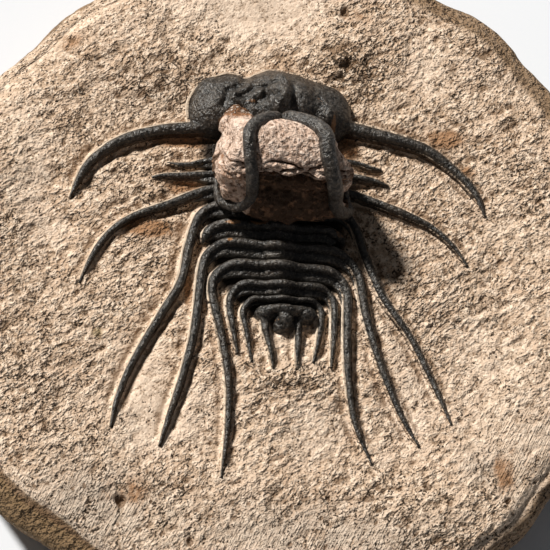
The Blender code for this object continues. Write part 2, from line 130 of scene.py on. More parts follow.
# Distance from a route of (x, y) points, and the place along it from 0 to 1
def nearRoute(x, y, route, reach=6):
    gap = np.full(x.shape, far)
    place = np.zeros(x.shape)
    route = np.array(route, float)[:, :2]
    low = route.min(axis=0) - reach
    high = route.max(axis=0) + reach
    inside = np.flatnonzero((x > low[0]) & (x < high[0]) & (y > low[1]) & (y < high[1]))
    if not len(inside):
        return gap, place
    px, py = x[inside], y[inside]
    best = gap[inside]
    where = place[inside]
    lengths = np.hypot(*np.diff(route, axis=0).T)
    whole = lengths.sum()
    travelled = 0
    for (ax, ay), (bx, by), length in zip(route, route[1:], lengths):
        share = ((px - ax) * (bx - ax) + (py - ay) * (by - ay)) / max(length * length, 1e-9)
        share = np.clip(share, 0, 1)
        distance = np.hypot(px - mix(ax, bx, share), py - mix(ay, by, share))
        closer = distance < best
        best = np.where(closer, distance, best)
        where = np.where(closer, (travelled + share * length) / whole, where)
        travelled += length
    gap[inside] = best
    place[inside] = where
    return gap, place


# Soft patches: the strongest of several (x, y, radius across, radius along, strength)
def patches(x, y, entries):
    total = np.zeros(x.shape)
    for px, py, across, along, strength in entries:
        soft = np.exp(-((x - px) / across) ** 2 - ((y - py) / along) ** 2)
        total = np.maximum(total, strength * soft)
    return total


def onPlane(x, y):
    return np.column_stack((x, y, np.zeros(x.shape)))


def unit(vectors):
    return vectors / np.linalg.norm(vectors, axis=1)[:, None]


# From start to end on a curve that is bent by the points before and after them
def bentLine(before, start, end, after, share):
    slopeIn = (end - before) / 2
    slopeOut = (after - start) / 2
    bend = 2 * start - 2 * end + slopeIn + slopeOut
    turn = 3 * (end - start) - 2 * slopeIn - slopeOut
    return ((bend * share + turn) * share + slopeIn) * share + start


# A smooth line through stations, read at even steps; the first columns are its place
def curveThrough(stations, spacing, placeColumns=2, fineSteps=24):
    stations = np.array(stations, float)
    last = len(stations) - 1
    position = np.linspace(0, last, last * fineSteps + 1)
    index = np.minimum(position.astype(int), last - 1)
    share = (position - index)[:, None]
    before = stations[np.maximum(index - 1, 0)]
    after = stations[np.minimum(index + 2, last)]
    fine = bentLine(before, stations[index], stations[index + 1], after, share)
    steps = np.linalg.norm(np.diff(fine[:, :placeColumns], axis=0), axis=1)
    travel = np.concatenate(([0], np.cumsum(steps)))
    count = max(3, int(round(travel[-1] / spacing)))
    even = np.linspace(0, travel[-1], count + 1)
    return np.column_stack([np.interp(even, travel, column) for column in fine.T])


# The same through a closed outline, with equally many steps between its points
def closedCurve(outline, steps):
    outline = np.array(outline, float)
    wrapped = np.concatenate((outline[-1:], outline, outline[:2]))
    share = np.linspace(0, 1, steps, endpoint=False)[:, None]
    corners = zip(wrapped, wrapped[1:], wrapped[2:], wrapped[3:])
    return np.concatenate([bentLine(*four, share) for four in corners])


# One socket of a material; sums on it add Math nodes
class Wire:
    def __init__(self, maker, socket):
        self.maker = maker
        self.socket = socket

    def joined(self, operation, first, second):
        return self.maker.node("Math", {"operation": operation}, {0: first, 1: second})

    def __add__(self, other):
        return self.joined("ADD", self, other)

    def __sub__(self, other):
        return self.joined("SUBTRACT", self, other)

    def __rsub__(self, other):
        return self.joined("SUBTRACT", other, self)

    def __mul__(self, other):
        return self.joined("MULTIPLY", self, other)

    __radd__ = __add__
    __rmul__ = __mul__


# A material whose colour starts as the first of its tints
class Finish:
    def __init__(self, name, tints):
        self.material = bpy.data.materials.new(name)
        self.material.use_nodes = True
        self.tree = self.material.node_tree
        self.shader = self.tree.nodes["Principled BSDF"]
        self.tints = tints
        self.colour = next(iter(tints.values()))
        place = self.node("TexCoord", {}, {}, "Object")
        self.place = self.node("VectorMath", {"operation": "SCALE"}, {0: place, "Scale": 1 / mm})

    def node(self, kind, settings, sockets, output=0):
        made = self.tree.nodes.new("ShaderNode" + kind)
        for setting, value in settings.items():
            setattr(made, setting, value)
        for name, value in sockets.items():
            self.feed(made.inputs[name], value)
        return Wire(self, made.outputs[output])

    def feed(self, socket, value):
        if isinstance(value, Wire):
            self.tree.links.new(value.socket, socket)
        elif isinstance(value, tuple) and len(value) == 3 and len(socket.default_value) == 4:
            socket.default_value = (*value, 1)
        else:
            socket.default_value = value

    # Noise of a size in mm, between 0 and 1; stretch is degrees and how far it is drawn out
    def grain(self, size, detail=2, roughness=0.55, stretch=None, seed=0):
        place = self.place
        if stretch:
            turned = (0, 0, math.radians(stretch[0]))
            sockets = {"Vector": place, "Rotation": turned, "Scale": stretch[1]}
            place = self.node("Mapping", {"vector_type": "TEXTURE"}, sockets)
        sockets = {"Vector": place, "W": seed, "Scale": 1 / size, "Detail": detail,
                   "Roughness": roughness}
        return self.node("TexNoise", {"noise_dimensions": "4D"}, sockets)

    # A value that the mesh carries
    def made(self, name):
        return self.node("Attribute", {"attribute_name": name}, {}, "Fac")

    # From 0 where the value is at low to 1 where it is at high
    def step(self, value, low, high):
        sockets = {"Value": value, "From Min": low, "From Max": high}
        return self.node("MapRange", {"interpolation_type": "SMOOTHSTEP"}, sockets)

    def between(self, share, first, second):
        return self.node("Mix", {"data_type": "RGBA"}, {0: share, 6: first, 7: second}, 2)

    # Lays a tint over the colour so far
    def layer(self, tint, share):
        self.colour = self.between(share, self.colour, self.tints.get(tint, tint))

    def done(self, roughness, specular, height=None):
        sockets = {"Base Color": self.colour, "Roughness": roughness, "Specular IOR Level": specular}
        if height:
            sockets["Normal"] = self.node("Bump", {}, {"Height": height, "Distance": mm})
        for name, value in sockets.items():
            self.feed(self.shader.inputs[name], value)
        return self.material


def newMesh(name, points, faces):
    mesh = bpy.data.meshes.new(name)
    mesh.from_pydata((np.asarray(points) * mm).tolist(), [], [tuple(face) for face in faces])
    mesh.shade_smooth()
    return mesh


def newObject(name, data):
    item = bpy.data.objects.new(name, data)
    bpy.context.scene.collection.objects.link(item)
    return item


def showPiece(name, mesh, material, node):
    mesh.materials.clear()
    mesh.materials.append(material)
    mesh.shade_smooth()
    item = newObject(name, mesh)
    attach(item, "root")
    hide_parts(node)


def readVectors(mesh, name="co"):
    flat = np.zeros(len(mesh.vertices) * 3)
    mesh.vertices.foreach_get(name, flat)
    return flat.reshape(-1, 3)


def readPoints(mesh):
    return readVectors(mesh) / mm


def writePoints(mesh, points):
    mesh.vertices.foreach_set("co", (points * mm).ravel())
    mesh.update()


# Moves each point out along its normal
def push(mesh, points, amount):
    writePoints(mesh, points + readVectors(mesh, "normal") * amount[:, None])


def addValues(mesh, **values):
    for name, value in values.items():
        layer = mesh.attributes.new(name, "FLOAT", "POINT")
        layer.data.foreach_set("value", np.asarray(value, np.float32))


# Moves each point towards the mean of its neighbours, several times over
def softened(mesh, points, rounds, amount=1):
    edges = np.zeros(len(mesh.edges) * 2, np.int32)
    mesh.edges.foreach_get("vertices", edges)
    edges = edges.reshape(-1, 2)
    target = np.concatenate((edges[:, 0], edges[:, 1]))
    source = np.concatenate((edges[:, 1], edges[:, 0]))
    size = len(points)
    count = np.maximum(np.bincount(target, minlength=size), 1)[:, None]
    for turn in range(rounds):
        columns = [np.bincount(target, column[source], minlength=size) for column in points.T]
        points = mix(points, np.column_stack(columns) / count, amount)
    return points


# How far each point lies below the softened form: over 0 in hollows, under 0 on ridges
def hollowness(mesh, rounds):
    points = readPoints(mesh)
    return np.sum((softened(mesh, points, rounds) - points) * readVectors(mesh, "normal"), axis=1)


def joined(name, meshes):
    form = bmesh.new()
    for mesh in meshes:
        form.from_mesh(mesh)
    result = bpy.data.meshes.new(name)
    form.to_mesh(result)
    form.free()
    return result


# One even skin over several closed forms, less what the cutter takes out
def fused(name, meshes, cell, cutter=None):
    item = newObject(name, joined(name, meshes))
    step = item.modifiers.new("fuse", "REMESH")
    step.mode = "VOXEL"
    step.voxel_size = cell * mm
    spare = [item]
    if cutter:
        spare.append(newObject(name + "Cutter", cutter))
        cut = item.modifiers.new("cut", "BOOLEAN")
        cut.operation = "DIFFERENCE"
        cut.solver = "EXACT"
        cut.object = spare[-1]
    bpy.context.view_layer.update()
    shown = item.evaluated_get(bpy.context.evaluated_depsgraph_get())
    mesh = bpy.data.meshes.new_from_object(shown)
    for used in spare:
        bpy.data.objects.remove(used, do_unlink=True)
    return mesh


# Faces between rings of equally many points, with both ends closed
def ringFaces(rings, size):
    faces = []
    for low in range(0, (rings - 1) * size, size):
        for column in range(size):
            after = (column + 1) % size
            faces.append((low + column, low + after, low + size + after, low + size + column))
    faces.append(tuple(range(size))[::-1])
    faces.append(tuple(range((rings - 1) * size, rings * size)))
    return faces


def outward(mesh):
    form = bmesh.new()
    form.from_mesh(mesh)
    bmesh.ops.recalc_face_normals(form, faces=form.faces)
    form.to_mesh(mesh)
    form.free()
    mesh.shade_smooth()
    return mesh


def tube(name, route, radii, around=20):
    route = np.array(route, float)
    headings = unit(np.gradient(route, axis=0))
    side = np.cross(headings[0], (0.3, 0.9, 0.31))  # any direction across the route does
    points = []
    angles = np.linspace(0, math.tau, around, endpoint=False)
    for centre, forward, radius in zip(route, headings, radii):
        side = side - forward * side.dot(forward)
        side /= np.linalg.norm(side)
        ring = np.outer(np.cos(angles), side) + np.outer(np.sin(angles), np.cross(forward, side))
        points.append(centre + radius * ring)
    return outward(newMesh(name, np.concatenate(points), ringFaces(len(route), around)))


def lump(name, centre, radii, around=32, rows=20):
    form = bmesh.new()
    bmesh.ops.create_uvsphere(form, u_segments=around, v_segments=rows, radius=1)
    bmesh.ops.scale(form, vec=[radius * mm for radius in radii], verts=form.verts)
    bmesh.ops.translate(form, vec=[place * mm for place in centre], verts=form.verts)
    mesh = bpy.data.meshes.new(name)
    form.to_mesh(mesh)
    form.free()
    return mesh


# The animal's measures come before the slab's, because banks of stone follow its spines.
body = {
    "lean": 0.055,
    "pivot": 11,
    "axisHalfWidth": 3.4,
    "sink": 0.9,
    "spacing": 0.26,
    "shelfShare": 0.9,
    # dirt left on the shell: x, y, radius across, radius along, strength
    "dirt": ((-7.6, 8.2, 1.5, 0.5, 1), (-3.2, 8.4, 2, 0.7, 1), (-8.2, 5, 0.6, 0.4, 1),
        (-5, 29.5, 1.8, 0.7, 0.6), (-9, 26, 1.6, 1.4, 1), (9.6, 26.5, 0.6, 2.4, 0.9),
        (7, 31, 2.5, 2, 0.45), (0, -8.5, 1.2, 1, 0.5), (11, 7.5, 2, 1.5, 0.6), (8, 2, 5, 2, 0.4),
        (-11, 2.5, 1.5, 3, 0.4)),
}

# The nine plates, from the head to the tail: y at the middle and both ends of the arch; widths
# of ridge and shelf; height; share of the body's middle width; width of the spines at their
# roots; routes of the left and right spine, from tip to root
plateFields = ("axisY", "leftY", "rightY", "ridge", "shelf", "crest", "axis", "spine", "left", "right")
plateRows = (
    (19.6, 20.1, 20.9, 1.6, 1.2, 3.9, 1, 0.9,
     ((-18.8, 19.3), (-17, 19), (-14.9, 19.1), (-13.2, 19.6), (-11.6, 20)),
     ((18.7, 20.4), (16.9, 20.7), (15, 21.2), (13, 21.5), (11.5, 21.4))),
    (16.7, 17.4, 18, 1.7, 1.2, 4, 1, 1.2,
     ((-21.4, 16.4), (-19.2, 16.8), (-16.6, 16.9), (-14, 17.2), (-11.8, 17.4)),
     ((19.9, 17.5), (18.3, 18), (16.2, 18.4), (13.9, 18.6), (11.8, 18.5))),
    (13.7, 14.6, 14.9, 1.8, 1.2, 4.1, 1, 1.5,
     ((-33.3, -3.2), (-30.9, 2.3), (-28.1, 6.3), (-24.2, 9.1), (-18.5, 11.5), (-14.3, 13.5),
      (-11.4, 14.6)),
     ((33.8, 3.8), (31.2, 7.2), (27.5, 10.3), (23.2, 12.2), (18.2, 13.9), (14, 15.2), (11.6, 15.4))),
    (10.5, 11.3, 11.8, 2, 1.3, 4.2, 1, 1.6,
     ((-27.5, -28.2), (-26.5, -23.2), (-24, -16.6), (-19.4, -8.1), (-16.3, -2.4), (-14.9, 4.4),
      (-13.4, 9.2), (-11.3, 11.3)),
     ((30.3, -24.9), (27.8, -18.9), (23.5, -10.2), (18.7, -3.3), (15.7, 3.6), (14, 8.8), (11.6, 11.9))),
    (7.1, 7.8, 7.6, 2.05, 1.35, 4.4, 1, 1.9,
     ((-12.5, 4.9), (-12.1, 6.1), (-11.1, 7.3)),
     ((11.9, 5.7), (11.5, 6.6), (10.7, 7.3))),
    (3.7, 4.4, 4, 2, 1.35, 4.4, 1, 1.6,
     ((-19.3, -30.9), (-17.6, -25.1), (-15.5, -18.1), (-13.9, -11), (-13.1, -4.3), (-12.4, 1.2),
      (-10.7, 3.9)),
     ((24.7, -29.1), (21.5, -23.6), (17.9, -14.8), (15.5, -6.2), (14.4, 0.2), (12.4, 3.2))),
    (0.3, 0.7, 0.3, 1.95, 1.3, 4.2, 1, 1.6,
     ((-8.9, -35.9), (-8, -27.2), (-8, -19.1), (-9.4, -10.8), (-10.9, -4.2), (-10.6, -1.4), (-9.2, 0.2)),
     ((16.6, -32.4), (13.6, -25.4), (12.4, -17), (12.3, -8.5), (12.4, -3.6), (11.3, -0.6))),
    (-2.9, -2.7, -2.6, 1.6, 1.05, 3.8, 0.9, 1.3,
     ((-6.4, -14.4), (-7.4, -9.6), (-7.9, -5.4), (-7, -3.3)),
     ((9.6, -16), (10, -10.4), (10.1, -5.2), (9, -3))),
    (-5.05, -5, -4.8, 1.15, 0.3, 3.3, 0.8, 1.1,
     ((-4, -15.7), (-4.9, -10.8), (-5.6, -7.3), (-4.9, -5.7)),
     ((6.5, -15.4), (7.6, -10.2), (7.9, -6.7), (7.2, -5.3))),
)
plates = [dict(zip(plateFields, row)) for row in plateRows]

tail = {
    # x, y, width, height
    "band": ((-3.2, -7.2, 1.2, 1.5), (-1.9, -6.75, 1.7, 2.1), (-0.6, -6.75, 1.9, 2.8),
        (1.2, -6.75, 2, 3.1), (3, -6.75, 2, 2.8), (4.9, -6.75, 1.9, 2.3), (6.3, -7.1, 1.3, 1.5)),
    # middle, radii
    "lumps": (((1.5, -7.9, 15.1), (1.75, 2.4, 2.6)), ((0.9, -9.2, 14.8), (1.2, 1.3, 1.9)),
        ((2.3, -8.9, 14.8), (1.1, 1.4, 1.8)), ((-1.7, -7.2, 15), (1.9, 1.4, 1.9)),
        ((5.2, -7.2, 15.2), (1.8, 1.5, 2.2))),
    "spines": (((-0.3, -16.9), (-0.8, -13.6), (-1.7, -10.4), (-2.2, -7.1)),
        ((3.7, -16.7), (3.8, -13.3), (3.9, -10.1), (4, -7.1))),
    "spineWidth": 1.2,
    "cell": 0.16,
}

head = {
    "outline": ((-14.9, 26.2), (-15.4, 29.6), (-14.5, 32.4), (-12.2, 34.7), (-9.2, 36.1), (-6.9, 36.2),
        (-5.2, 35.6), (-3.6, 36.4), (-1.2, 37.4), (0.8, 37.3), (3.5, 37), (6, 36.3), (8.8, 35.4),
        (11.3, 33.8), (12.1, 31.6), (13.1, 29.4), (13.6, 27), (10, 25.2), (5, 24.2), (0, 23.6),
        (-4, 23.8), (-8, 24.6), (-12, 24.4)),
    "ridgeY": 29.9,
    # share of the way in to the ridge, height
    "rise": ((0, -1), (0, 0.6), (0.06, 1.5), (0.13, 2.2), (0.24, 3), (0.36, 3.6), (0.48, 4.1),
        (0.62, 4.5), (0.85, 4.9)),
    # middle, radii
    "lumps": (((-10.9, 30.2, 15.4), (3.9, 5.4, 3.6)), ((8.3, 29.9, 15.2), (5.2, 5.6, 4.4)),
        ((-0.2, 30.4, 16), (3.1, 5.9, 7.4)), ((-3.4, 30.6, 16), (2.3, 4, 5.4)),
        ((3.8, 30.3, 15.6), (3.6, 5.2, 6.2)), ((-0.6, 25.2, 17), (5.2, 2.3, 6.6)),
        ((-7.6, 30.3, 19.3), (1.25, 1.25, 1.7)), ((8.6, 28.6, 18.6), (1.5, 2, 2))),
    "gap": ((-7.3, 25, 18.3), (2.4, 4, 7.5)),
    # the cheek spines, from tip to root
    "genalLeft": ((-35.3, 11.9), (-33.3, 16.6), (-30.7, 20), (-26.5, 22.9), (-20.5, 24.8), (-15.7, 25.5),
        (-11.5, 26)),
    "genalRight": ((37.2, 13.2), (35.2, 17.6), (31.5, 21.4), (26.4, 24.7), (20.2, 26.3), (14.9, 27.2),
        (10.5, 28)),
    "genalWidths": (2.3, 2.6),
    # route, width, depth or height
    "furrows": ((((-7.3, 30.3), (-5.7, 31.1), (-4.4, 32.2), (-2.6, 32.5), (-0.9, 32.8)), 0.55, 0.8),
        (((-3.9, 29.5), (-2.3, 30.6), (-0.9, 30.1)), 0.6, 0.8),
        (((-6, 34.9), (-6.6, 33), (-8.9, 31.8), (-9.6, 29)), 0.7, 0.8),
        (((6.4, 35), (5.6, 32), (6, 29), (6.4, 26.5)), 1.4, 0.2)),
    "ridges": ((((0.2, 34.6), (0.9, 33.2), (1.4, 31.7), (0.7, 30.4), (-0.3, 29.2), (-1.2, 27.8)), 0.9,
         0.55),),
    "cell": 0.185,
    "smoothRight": ((2, 4), (25.5, 27), (22.8, 23.6)),  # from, to: x, y and a limit of z
    "crown": ((-1, 30.5, 7.5, 6.5, 1),),
}

horn = {
    "y": 18.3,
    "z": 24.9,
    # turn in degrees from the front over the top, distance from (y, z)
    "loop": ((-25, 5.7), (30, 6), (80, 6.55), (130, 6.6), (178, 7.2), (206, 9.5), (226, 9.3), (255, 7.6),
        (300, 6.5)),
    # left and right
    "thickness": {-1: 2.25, 1: 2.75},
    "tip": 0.7,
    # turn, how far out each stands and how far both lean to the right
    "spread": ((-25, 1), (15, 1.1), (88, 6.6), (184, 7.1), (226, 11.2), (300, 10.9)),
    "shift": ((-25, -0.9), (90, -0.6), (190, 1.6), (250, 0.6), (300, -0.4)),
    "rings": 150,
    "taper": (0.6, 0.95),  # shares of the length between which it thins
}


# Stations of a free spine from its tip to its root: x, y, width, height, shelf, axis share
def spineStations(route, rootWidth):
    growth = np.sqrt(np.linspace(0, 1, len(route)))
    width = mix(0.3, rootWidth, np.minimum(growth * 1.12, 1))
    height = mix(0.35, 0.85 * rootWidth + 0.25, growth)
    return np.column_stack((np.array(route), width, height, 0 * width, 0 * width))


def bodyMiddle(y):
    return body["lean"] * (body["pivot"] - y)


slab = {
    # direction in degrees, distance from the middle
    "outline": ((0, 62.5), (20, 63.6), (37, 64.2), (52, 65.3), (63, 64.1), (90, 62), (121, 60.4),
        (135, 59.1), (145, 59.5), (180, 62.5), (222, 61.6), (238, 60.2), (270, 62), (313, 60.9),
        (323, 60.5), (360, 62.5)),
    # height and inset of each ring down the side
    "side": ((13.6, 3.2), (13.3, 2.45), (12.9, 1.75), (12.3, 1.15), (11.6, 0.7), (10.3, 0.25), (9, 0),
        (6.8, 0.45), (4.6, 1.25), (2.6, 2.3), (1, 3.4), (0, 4.6)),
    # distance from the rim, how far the top drops there
    "edgeDrop": ((3.2, 1.9), (3.9, 1.25), (5, 0.6), (6.6, 0.3), (9, 0)),
    "chip": 0.3,
    # direction in degrees, how far it spreads, depth
    "wornCorner": (227, 24, 1.3),
    # under the body: middle x and y, half width, half length, height
    "mound": (0.5, 14, 20, 27, 15),
    "basin": 14.2,
    # how finely the top is divided, and how evenly
    "cells": 262,
    "crowding": 0.76,
    "pedestal": 0.55,  # share of a spine's height that is stone
    # section of the bank of stone under a spine: (place across, share of the height)
    "bank": ((-1, -0.6), (-0.82, 0.05), (-0.66, 0.45), (-0.5, 0.75), (-0.36, 0.95), (-0.15, 1), (0.15, 1),
        (0.36, 0.95), (0.5, 0.75), (0.66, 0.45), (0.82, 0.05), (1, -0.6)),
    "bankWidth": 0.3,
    "headBankShare": 0.72,
    # areas: x, y, radius across, radius along, strength
    "roughAreas": ((-20, 34, 9, 6, 1), (12.4, 40, 7, 6, 1.2), (3, -18.5, 6, 3, 1.2),
        (-26, 14, 12, 9, 0.7), (-52, 10, 9, 16, 0.5), (24, -46, 12, 6, 0.5)),
    "calmAreas": ((-22, -22, 5, 9, 0.9), (-42, 20, 5, 12, 0.5), (2, -28, 7, 9, 0.6), (0, 50, 22, 8, 0.7),
        (22, -22, 5, 8, 0.4), (36, 2, 8, 14, 0.3), (-6, 47, 12, 5, 0.4)),
    "ripples": ((-27, 13, 11, 7, 1), (-44, 3, 8, 10, 0.5)),
    # x, y, radius
    "pits": ((-33.7, -5, 0.6), (-29.1, -14.3, 0.6), (-44.5, -32.2, 0.7), (-42.4, -34.1, 0.6),
        (-25.6, -40.9, 1.2), (-14.1, -47.3, 0.9), (29.8, -38.7, 0.8), (39.6, -38.2, 0.7), (12.5, 50, 0.9),
        (-35.5, 41.5, 0.7)),
    # stained and ground areas, as above
    "rust": ((31.1, 27, 4.5, 2.2, 0.7), (34, 21.5, 2, 1.4, 0.8), (39.2, -33.4, 3.4, 4, 0.7),
        (-24, -38.6, 4.4, 3.6, 0.65), (-35.1, 41, 3.4, 2.4, 0.6), (14.3, 49.1, 4.5, 2, 0.5),
        (-16.2, 15.2, 3.5, 1.4, 1), (-21.7, 7.4, 5, 2.3, 1), (-16.6, 23.4, 6.5, 1.4, 1),
        (-14.8, -3, 0.9, 4, 0.8), (12.5, 24, 2.4, 3, 1), (2, 12, 12, 9, 0.8)),
    "moss": ((-30, -11.7, 1.2, 1.2, 0.9), (-41, -46, 9, 4, 0.6)),
    "ash": ((35.3, -31.9, 3.4, 3, 0.9), (-30, -41, 9, 6, 0.9), (6, -45, 20, 6, 0.75),
        (-20, 32, 9, 5, 0.3), (20, -49, 9, 4, 0.8)),
    "ground": ((-32, -44, 16, 9, 1), (8, -48, 22, 6, 1), (44, -30, 8, 12, 0.8)),
    "halfSize": (62.5, 62),
    "rimWave": (0.15, 23),  # height, and how often it comes round
    "rimStart": (38, 52),  # where the ground rises to the rim
    "rimHeight": 15.5,
    "moundFoot": (1, 1.9),
    "swellBeside": (0.2, 1.6),  # between these gaps the swell along a spine fades
    "trenchBeside": (1, 0.7),  # gap to its middle, width
    "trenchDepth": 0.4,
    "bankUneven": (0.16, 0.16, 0.14),
    "grainTurn": 32,  # degrees anticlockwise from +X
    "roughMean": 0.75,
    "roughSpread": 0.45,
    "roughLimits": (0.15, 1.9),
    # heights of the layers of relief; their sizes stand in slabRelief
    "broadSwell": 0.22,
    "smallSwell": 0.1,
    "gougeHeight": 0.46,
    "crumbHeight": 0.24,
    "rippleHeight": 0.34,
    "holeDepth": 0.4,
    "reliefFrom": (3.1, 4.4),  # distances from the rim
    "dents": (0.45, 5, 0.12),  # depth, size, mean
    "sideWaves": (0.25, 3),
    # direction toward the key light; bank faces turned to it get a painted highlight, those turned away
    # painted shade
    "litFrom": (-0.6, 0.55, 0.35),
    # half width of the ground under the body, painted near black as shade, at some y, and the y limits of
    # that ground
    "underWidth": ((-9, 3.2), (-6.5, 5.6), (-4, 9), (0, 10.8), (4, 12), (22, 12.2)),
    "underLength": (-9.5, -7.5, 23, 25),
}


def slabReach(angle):
    height, often = slab["rimWave"]
    return easedTable(slab["outline"], np.degrees(angle) % 360) + height * np.sin(often * angle)


def ground(x, y):
    middleX, middleY, across, along, moundHeight = slab["mound"]
    offMound = ease(*slab["moundFoot"], np.hypot((x - middleX) / across, (y - middleY) / along))
    low = mix(moundHeight, slab["basin"], offMound)
    out = ease(*slab["rimStart"], np.hypot(x, y))
    lumps = 0.22 * np.sin(0.23 * x + 1.3) * np.cos(0.19 * y - 0.4) * offMound
    return mix(low, slab["rimHeight"], out) + lumps


# Routes of all spines, from tip to root, with their widths at the root
def allSpines():
    routes = [(plate[side], plate["spine"]) for plate in plates for side in ("left", "right")]
    routes += [(route, tail["spineWidth"]) for route in tail["spines"]]
    return routes + list(zip((head["genalLeft"], head["genalRight"]), head["genalWidths"]))


# A low swell of stone under the spines and a shallow trench beside them
def besideSpines(x, y):
    swell = np.zeros(x.shape)
    trench = np.zeros(x.shape)
    near, out = slab["swellBeside"]
    trenchGap, trenchWidth = slab["trenchBeside"]
    for route, rootWidth in allSpines():
        line = curveThrough(spineStations(route, rootWidth), 0.8)
        gap, place = nearRoute(x, y, line)
        half = 0.5 * np.interp(place, np.linspace(0, 1, len(line)), line[:, 2])
        swell = np.maximum(swell, fall(half + near, half + out, gap))
        dug = bell(gap - half - trenchGap, trenchWidth) * ease(0, 0.15, place)
        trench = np.maximum(trench, dug)
    return swell, trench


# A bank of stone swept along a route of (x, y, half width of what it carries, height)
def bankMesh(line, seed):
    x, y, half, height = np.array(line, float).T
    heading = unit(np.gradient(np.column_stack((x, y)), axis=0))
    across, rise = np.array(slab["bank"]).T
    carried = half[:, None] * np.minimum(np.abs(across) * 3, 1)
    out = np.sign(across) * (np.abs(across) * slab["bankWidth"] + carried)
    rings = np.zeros((len(x), len(across), 3))
    rings[:, :, 0] = x[:, None] - heading[:, 1:] * out
    rings[:, :, 1] = y[:, None] + heading[:, :1] * out
    rings[:, :, 2] = ground(rings[:, :, 0], rings[:, :, 1])
    rings[:, :, 2] += rise * height[:, None] - 0.35 * (1 - rise)
    points = rings.reshape(-1, 3)
    layers = ((1.3, seed), (1.3, seed + 5), (1.1, seed + 9))
    uneven = np.column_stack([fractal(points, size, start, 3) for size, start in layers])
    points += uneven * slab["bankUneven"]
    return outward(newMesh("bank", points, ringFaces(len(x), len(across))))


def bankMeshes():
    meshes = []
    for index, (route, rootWidth) in enumerate(allSpines()):
        line = curveThrough(spineStations(route, rootWidth), 0.3)[:, :4]
        line[:, 2] *= 0.5
        line[:, 3] *= slab["pedestal"]
        meshes.append(bankMesh(line, 200 + 20 * index))
    closed = closedCurve(head["outline"], 6)
    count = int(len(closed) * slab["headBankShare"])
    flat = np.ones(count)
    meshes.append(bankMesh(np.column_stack((closed[:count], 0.15 * flat, 1.15 * flat)), 900))
    return meshes


def underBody(x, y):
    across = np.abs(x - bodyMiddle(y)) / np.interp(y, *np.array(slab["underWidth"]).T)
    start, full, fade, end = slab["underLength"]
    return fall(0.9, 1.08, across) * ease(start, full, y) * fall(fade, end, y)


def slabRelief(x, y):
    flat = onPlane(x, y)
    turned = math.radians(slab["grainTurn"])
    along = x * math.cos(turned) + y * math.sin(turned)
    across = -x * math.sin(turned) + y * math.cos(turned)
    rough = slab["roughMean"] + slab["roughSpread"] * fractal(flat, 13, 3, 2)
    rough += 0.8 * patches(x, y, slab["roughAreas"]) - 0.75 * patches(x, y, slab["calmAreas"])
    rough = np.clip(rough, *slab["roughLimits"])
    raised, trench = besideSpines(x, y)
    calm = 1 - 0.5 * raised
    swell = slab["broadSwell"] * fractal(flat, 12, 11, 2)
    swell = swell + slab["smallSwell"] * fractal(flat, 4.5, 17, 2)
    worked = 1 - 0.6 * np.clip(patches(x, y, slab["ground"]), 0, 1)
    gouges = slab["gougeHeight"] * worked * fractal(onPlane(along / 1.9, across), 1.7, 23, 2, 0.6)
    crumbs = slab["crumbHeight"] * worked * fractal(flat, 1.1, 29, 2, 0.5)
    waves = slab["rippleHeight"] * noise(onPlane(along / 5, across), 1.6, 31)
    waves *= patches(x, y, slab["ripples"])
    bent = flat + 0.35 * onPlane(noise(flat, 0.8, 33), noise(flat, 0.8, 34))
    nearest, value = spots(bent, 2.2, 37)
    size = 0.08 + 0.16 * np.maximum(value, 0)
    holes = slab["holeDepth"] * fall(0.3, 1, nearest / size) * (value > 0.45)
    holes = holes * np.minimum(rough, 1.3)
    for px, py, radius in slab["pits"]:
        gap = np.hypot(bent[:, 0] - px, bent[:, 1] - py) / radius
        holes = np.maximum(holes, 0.9 * radius * fall(0.45, 1, gap))
    relief = swell + (gouges + crumbs) * rough * calm + waves * calm - holes * calm
    return relief * (1 - underBody(x, y)) - slab["trenchDepth"] * trench, rough


# How far a direction from the slab's middle agrees with one in degrees, from -1 to 1
def toward(x, y, direction):
    return np.cos(np.arctan2(y, x) - math.radians(direction))


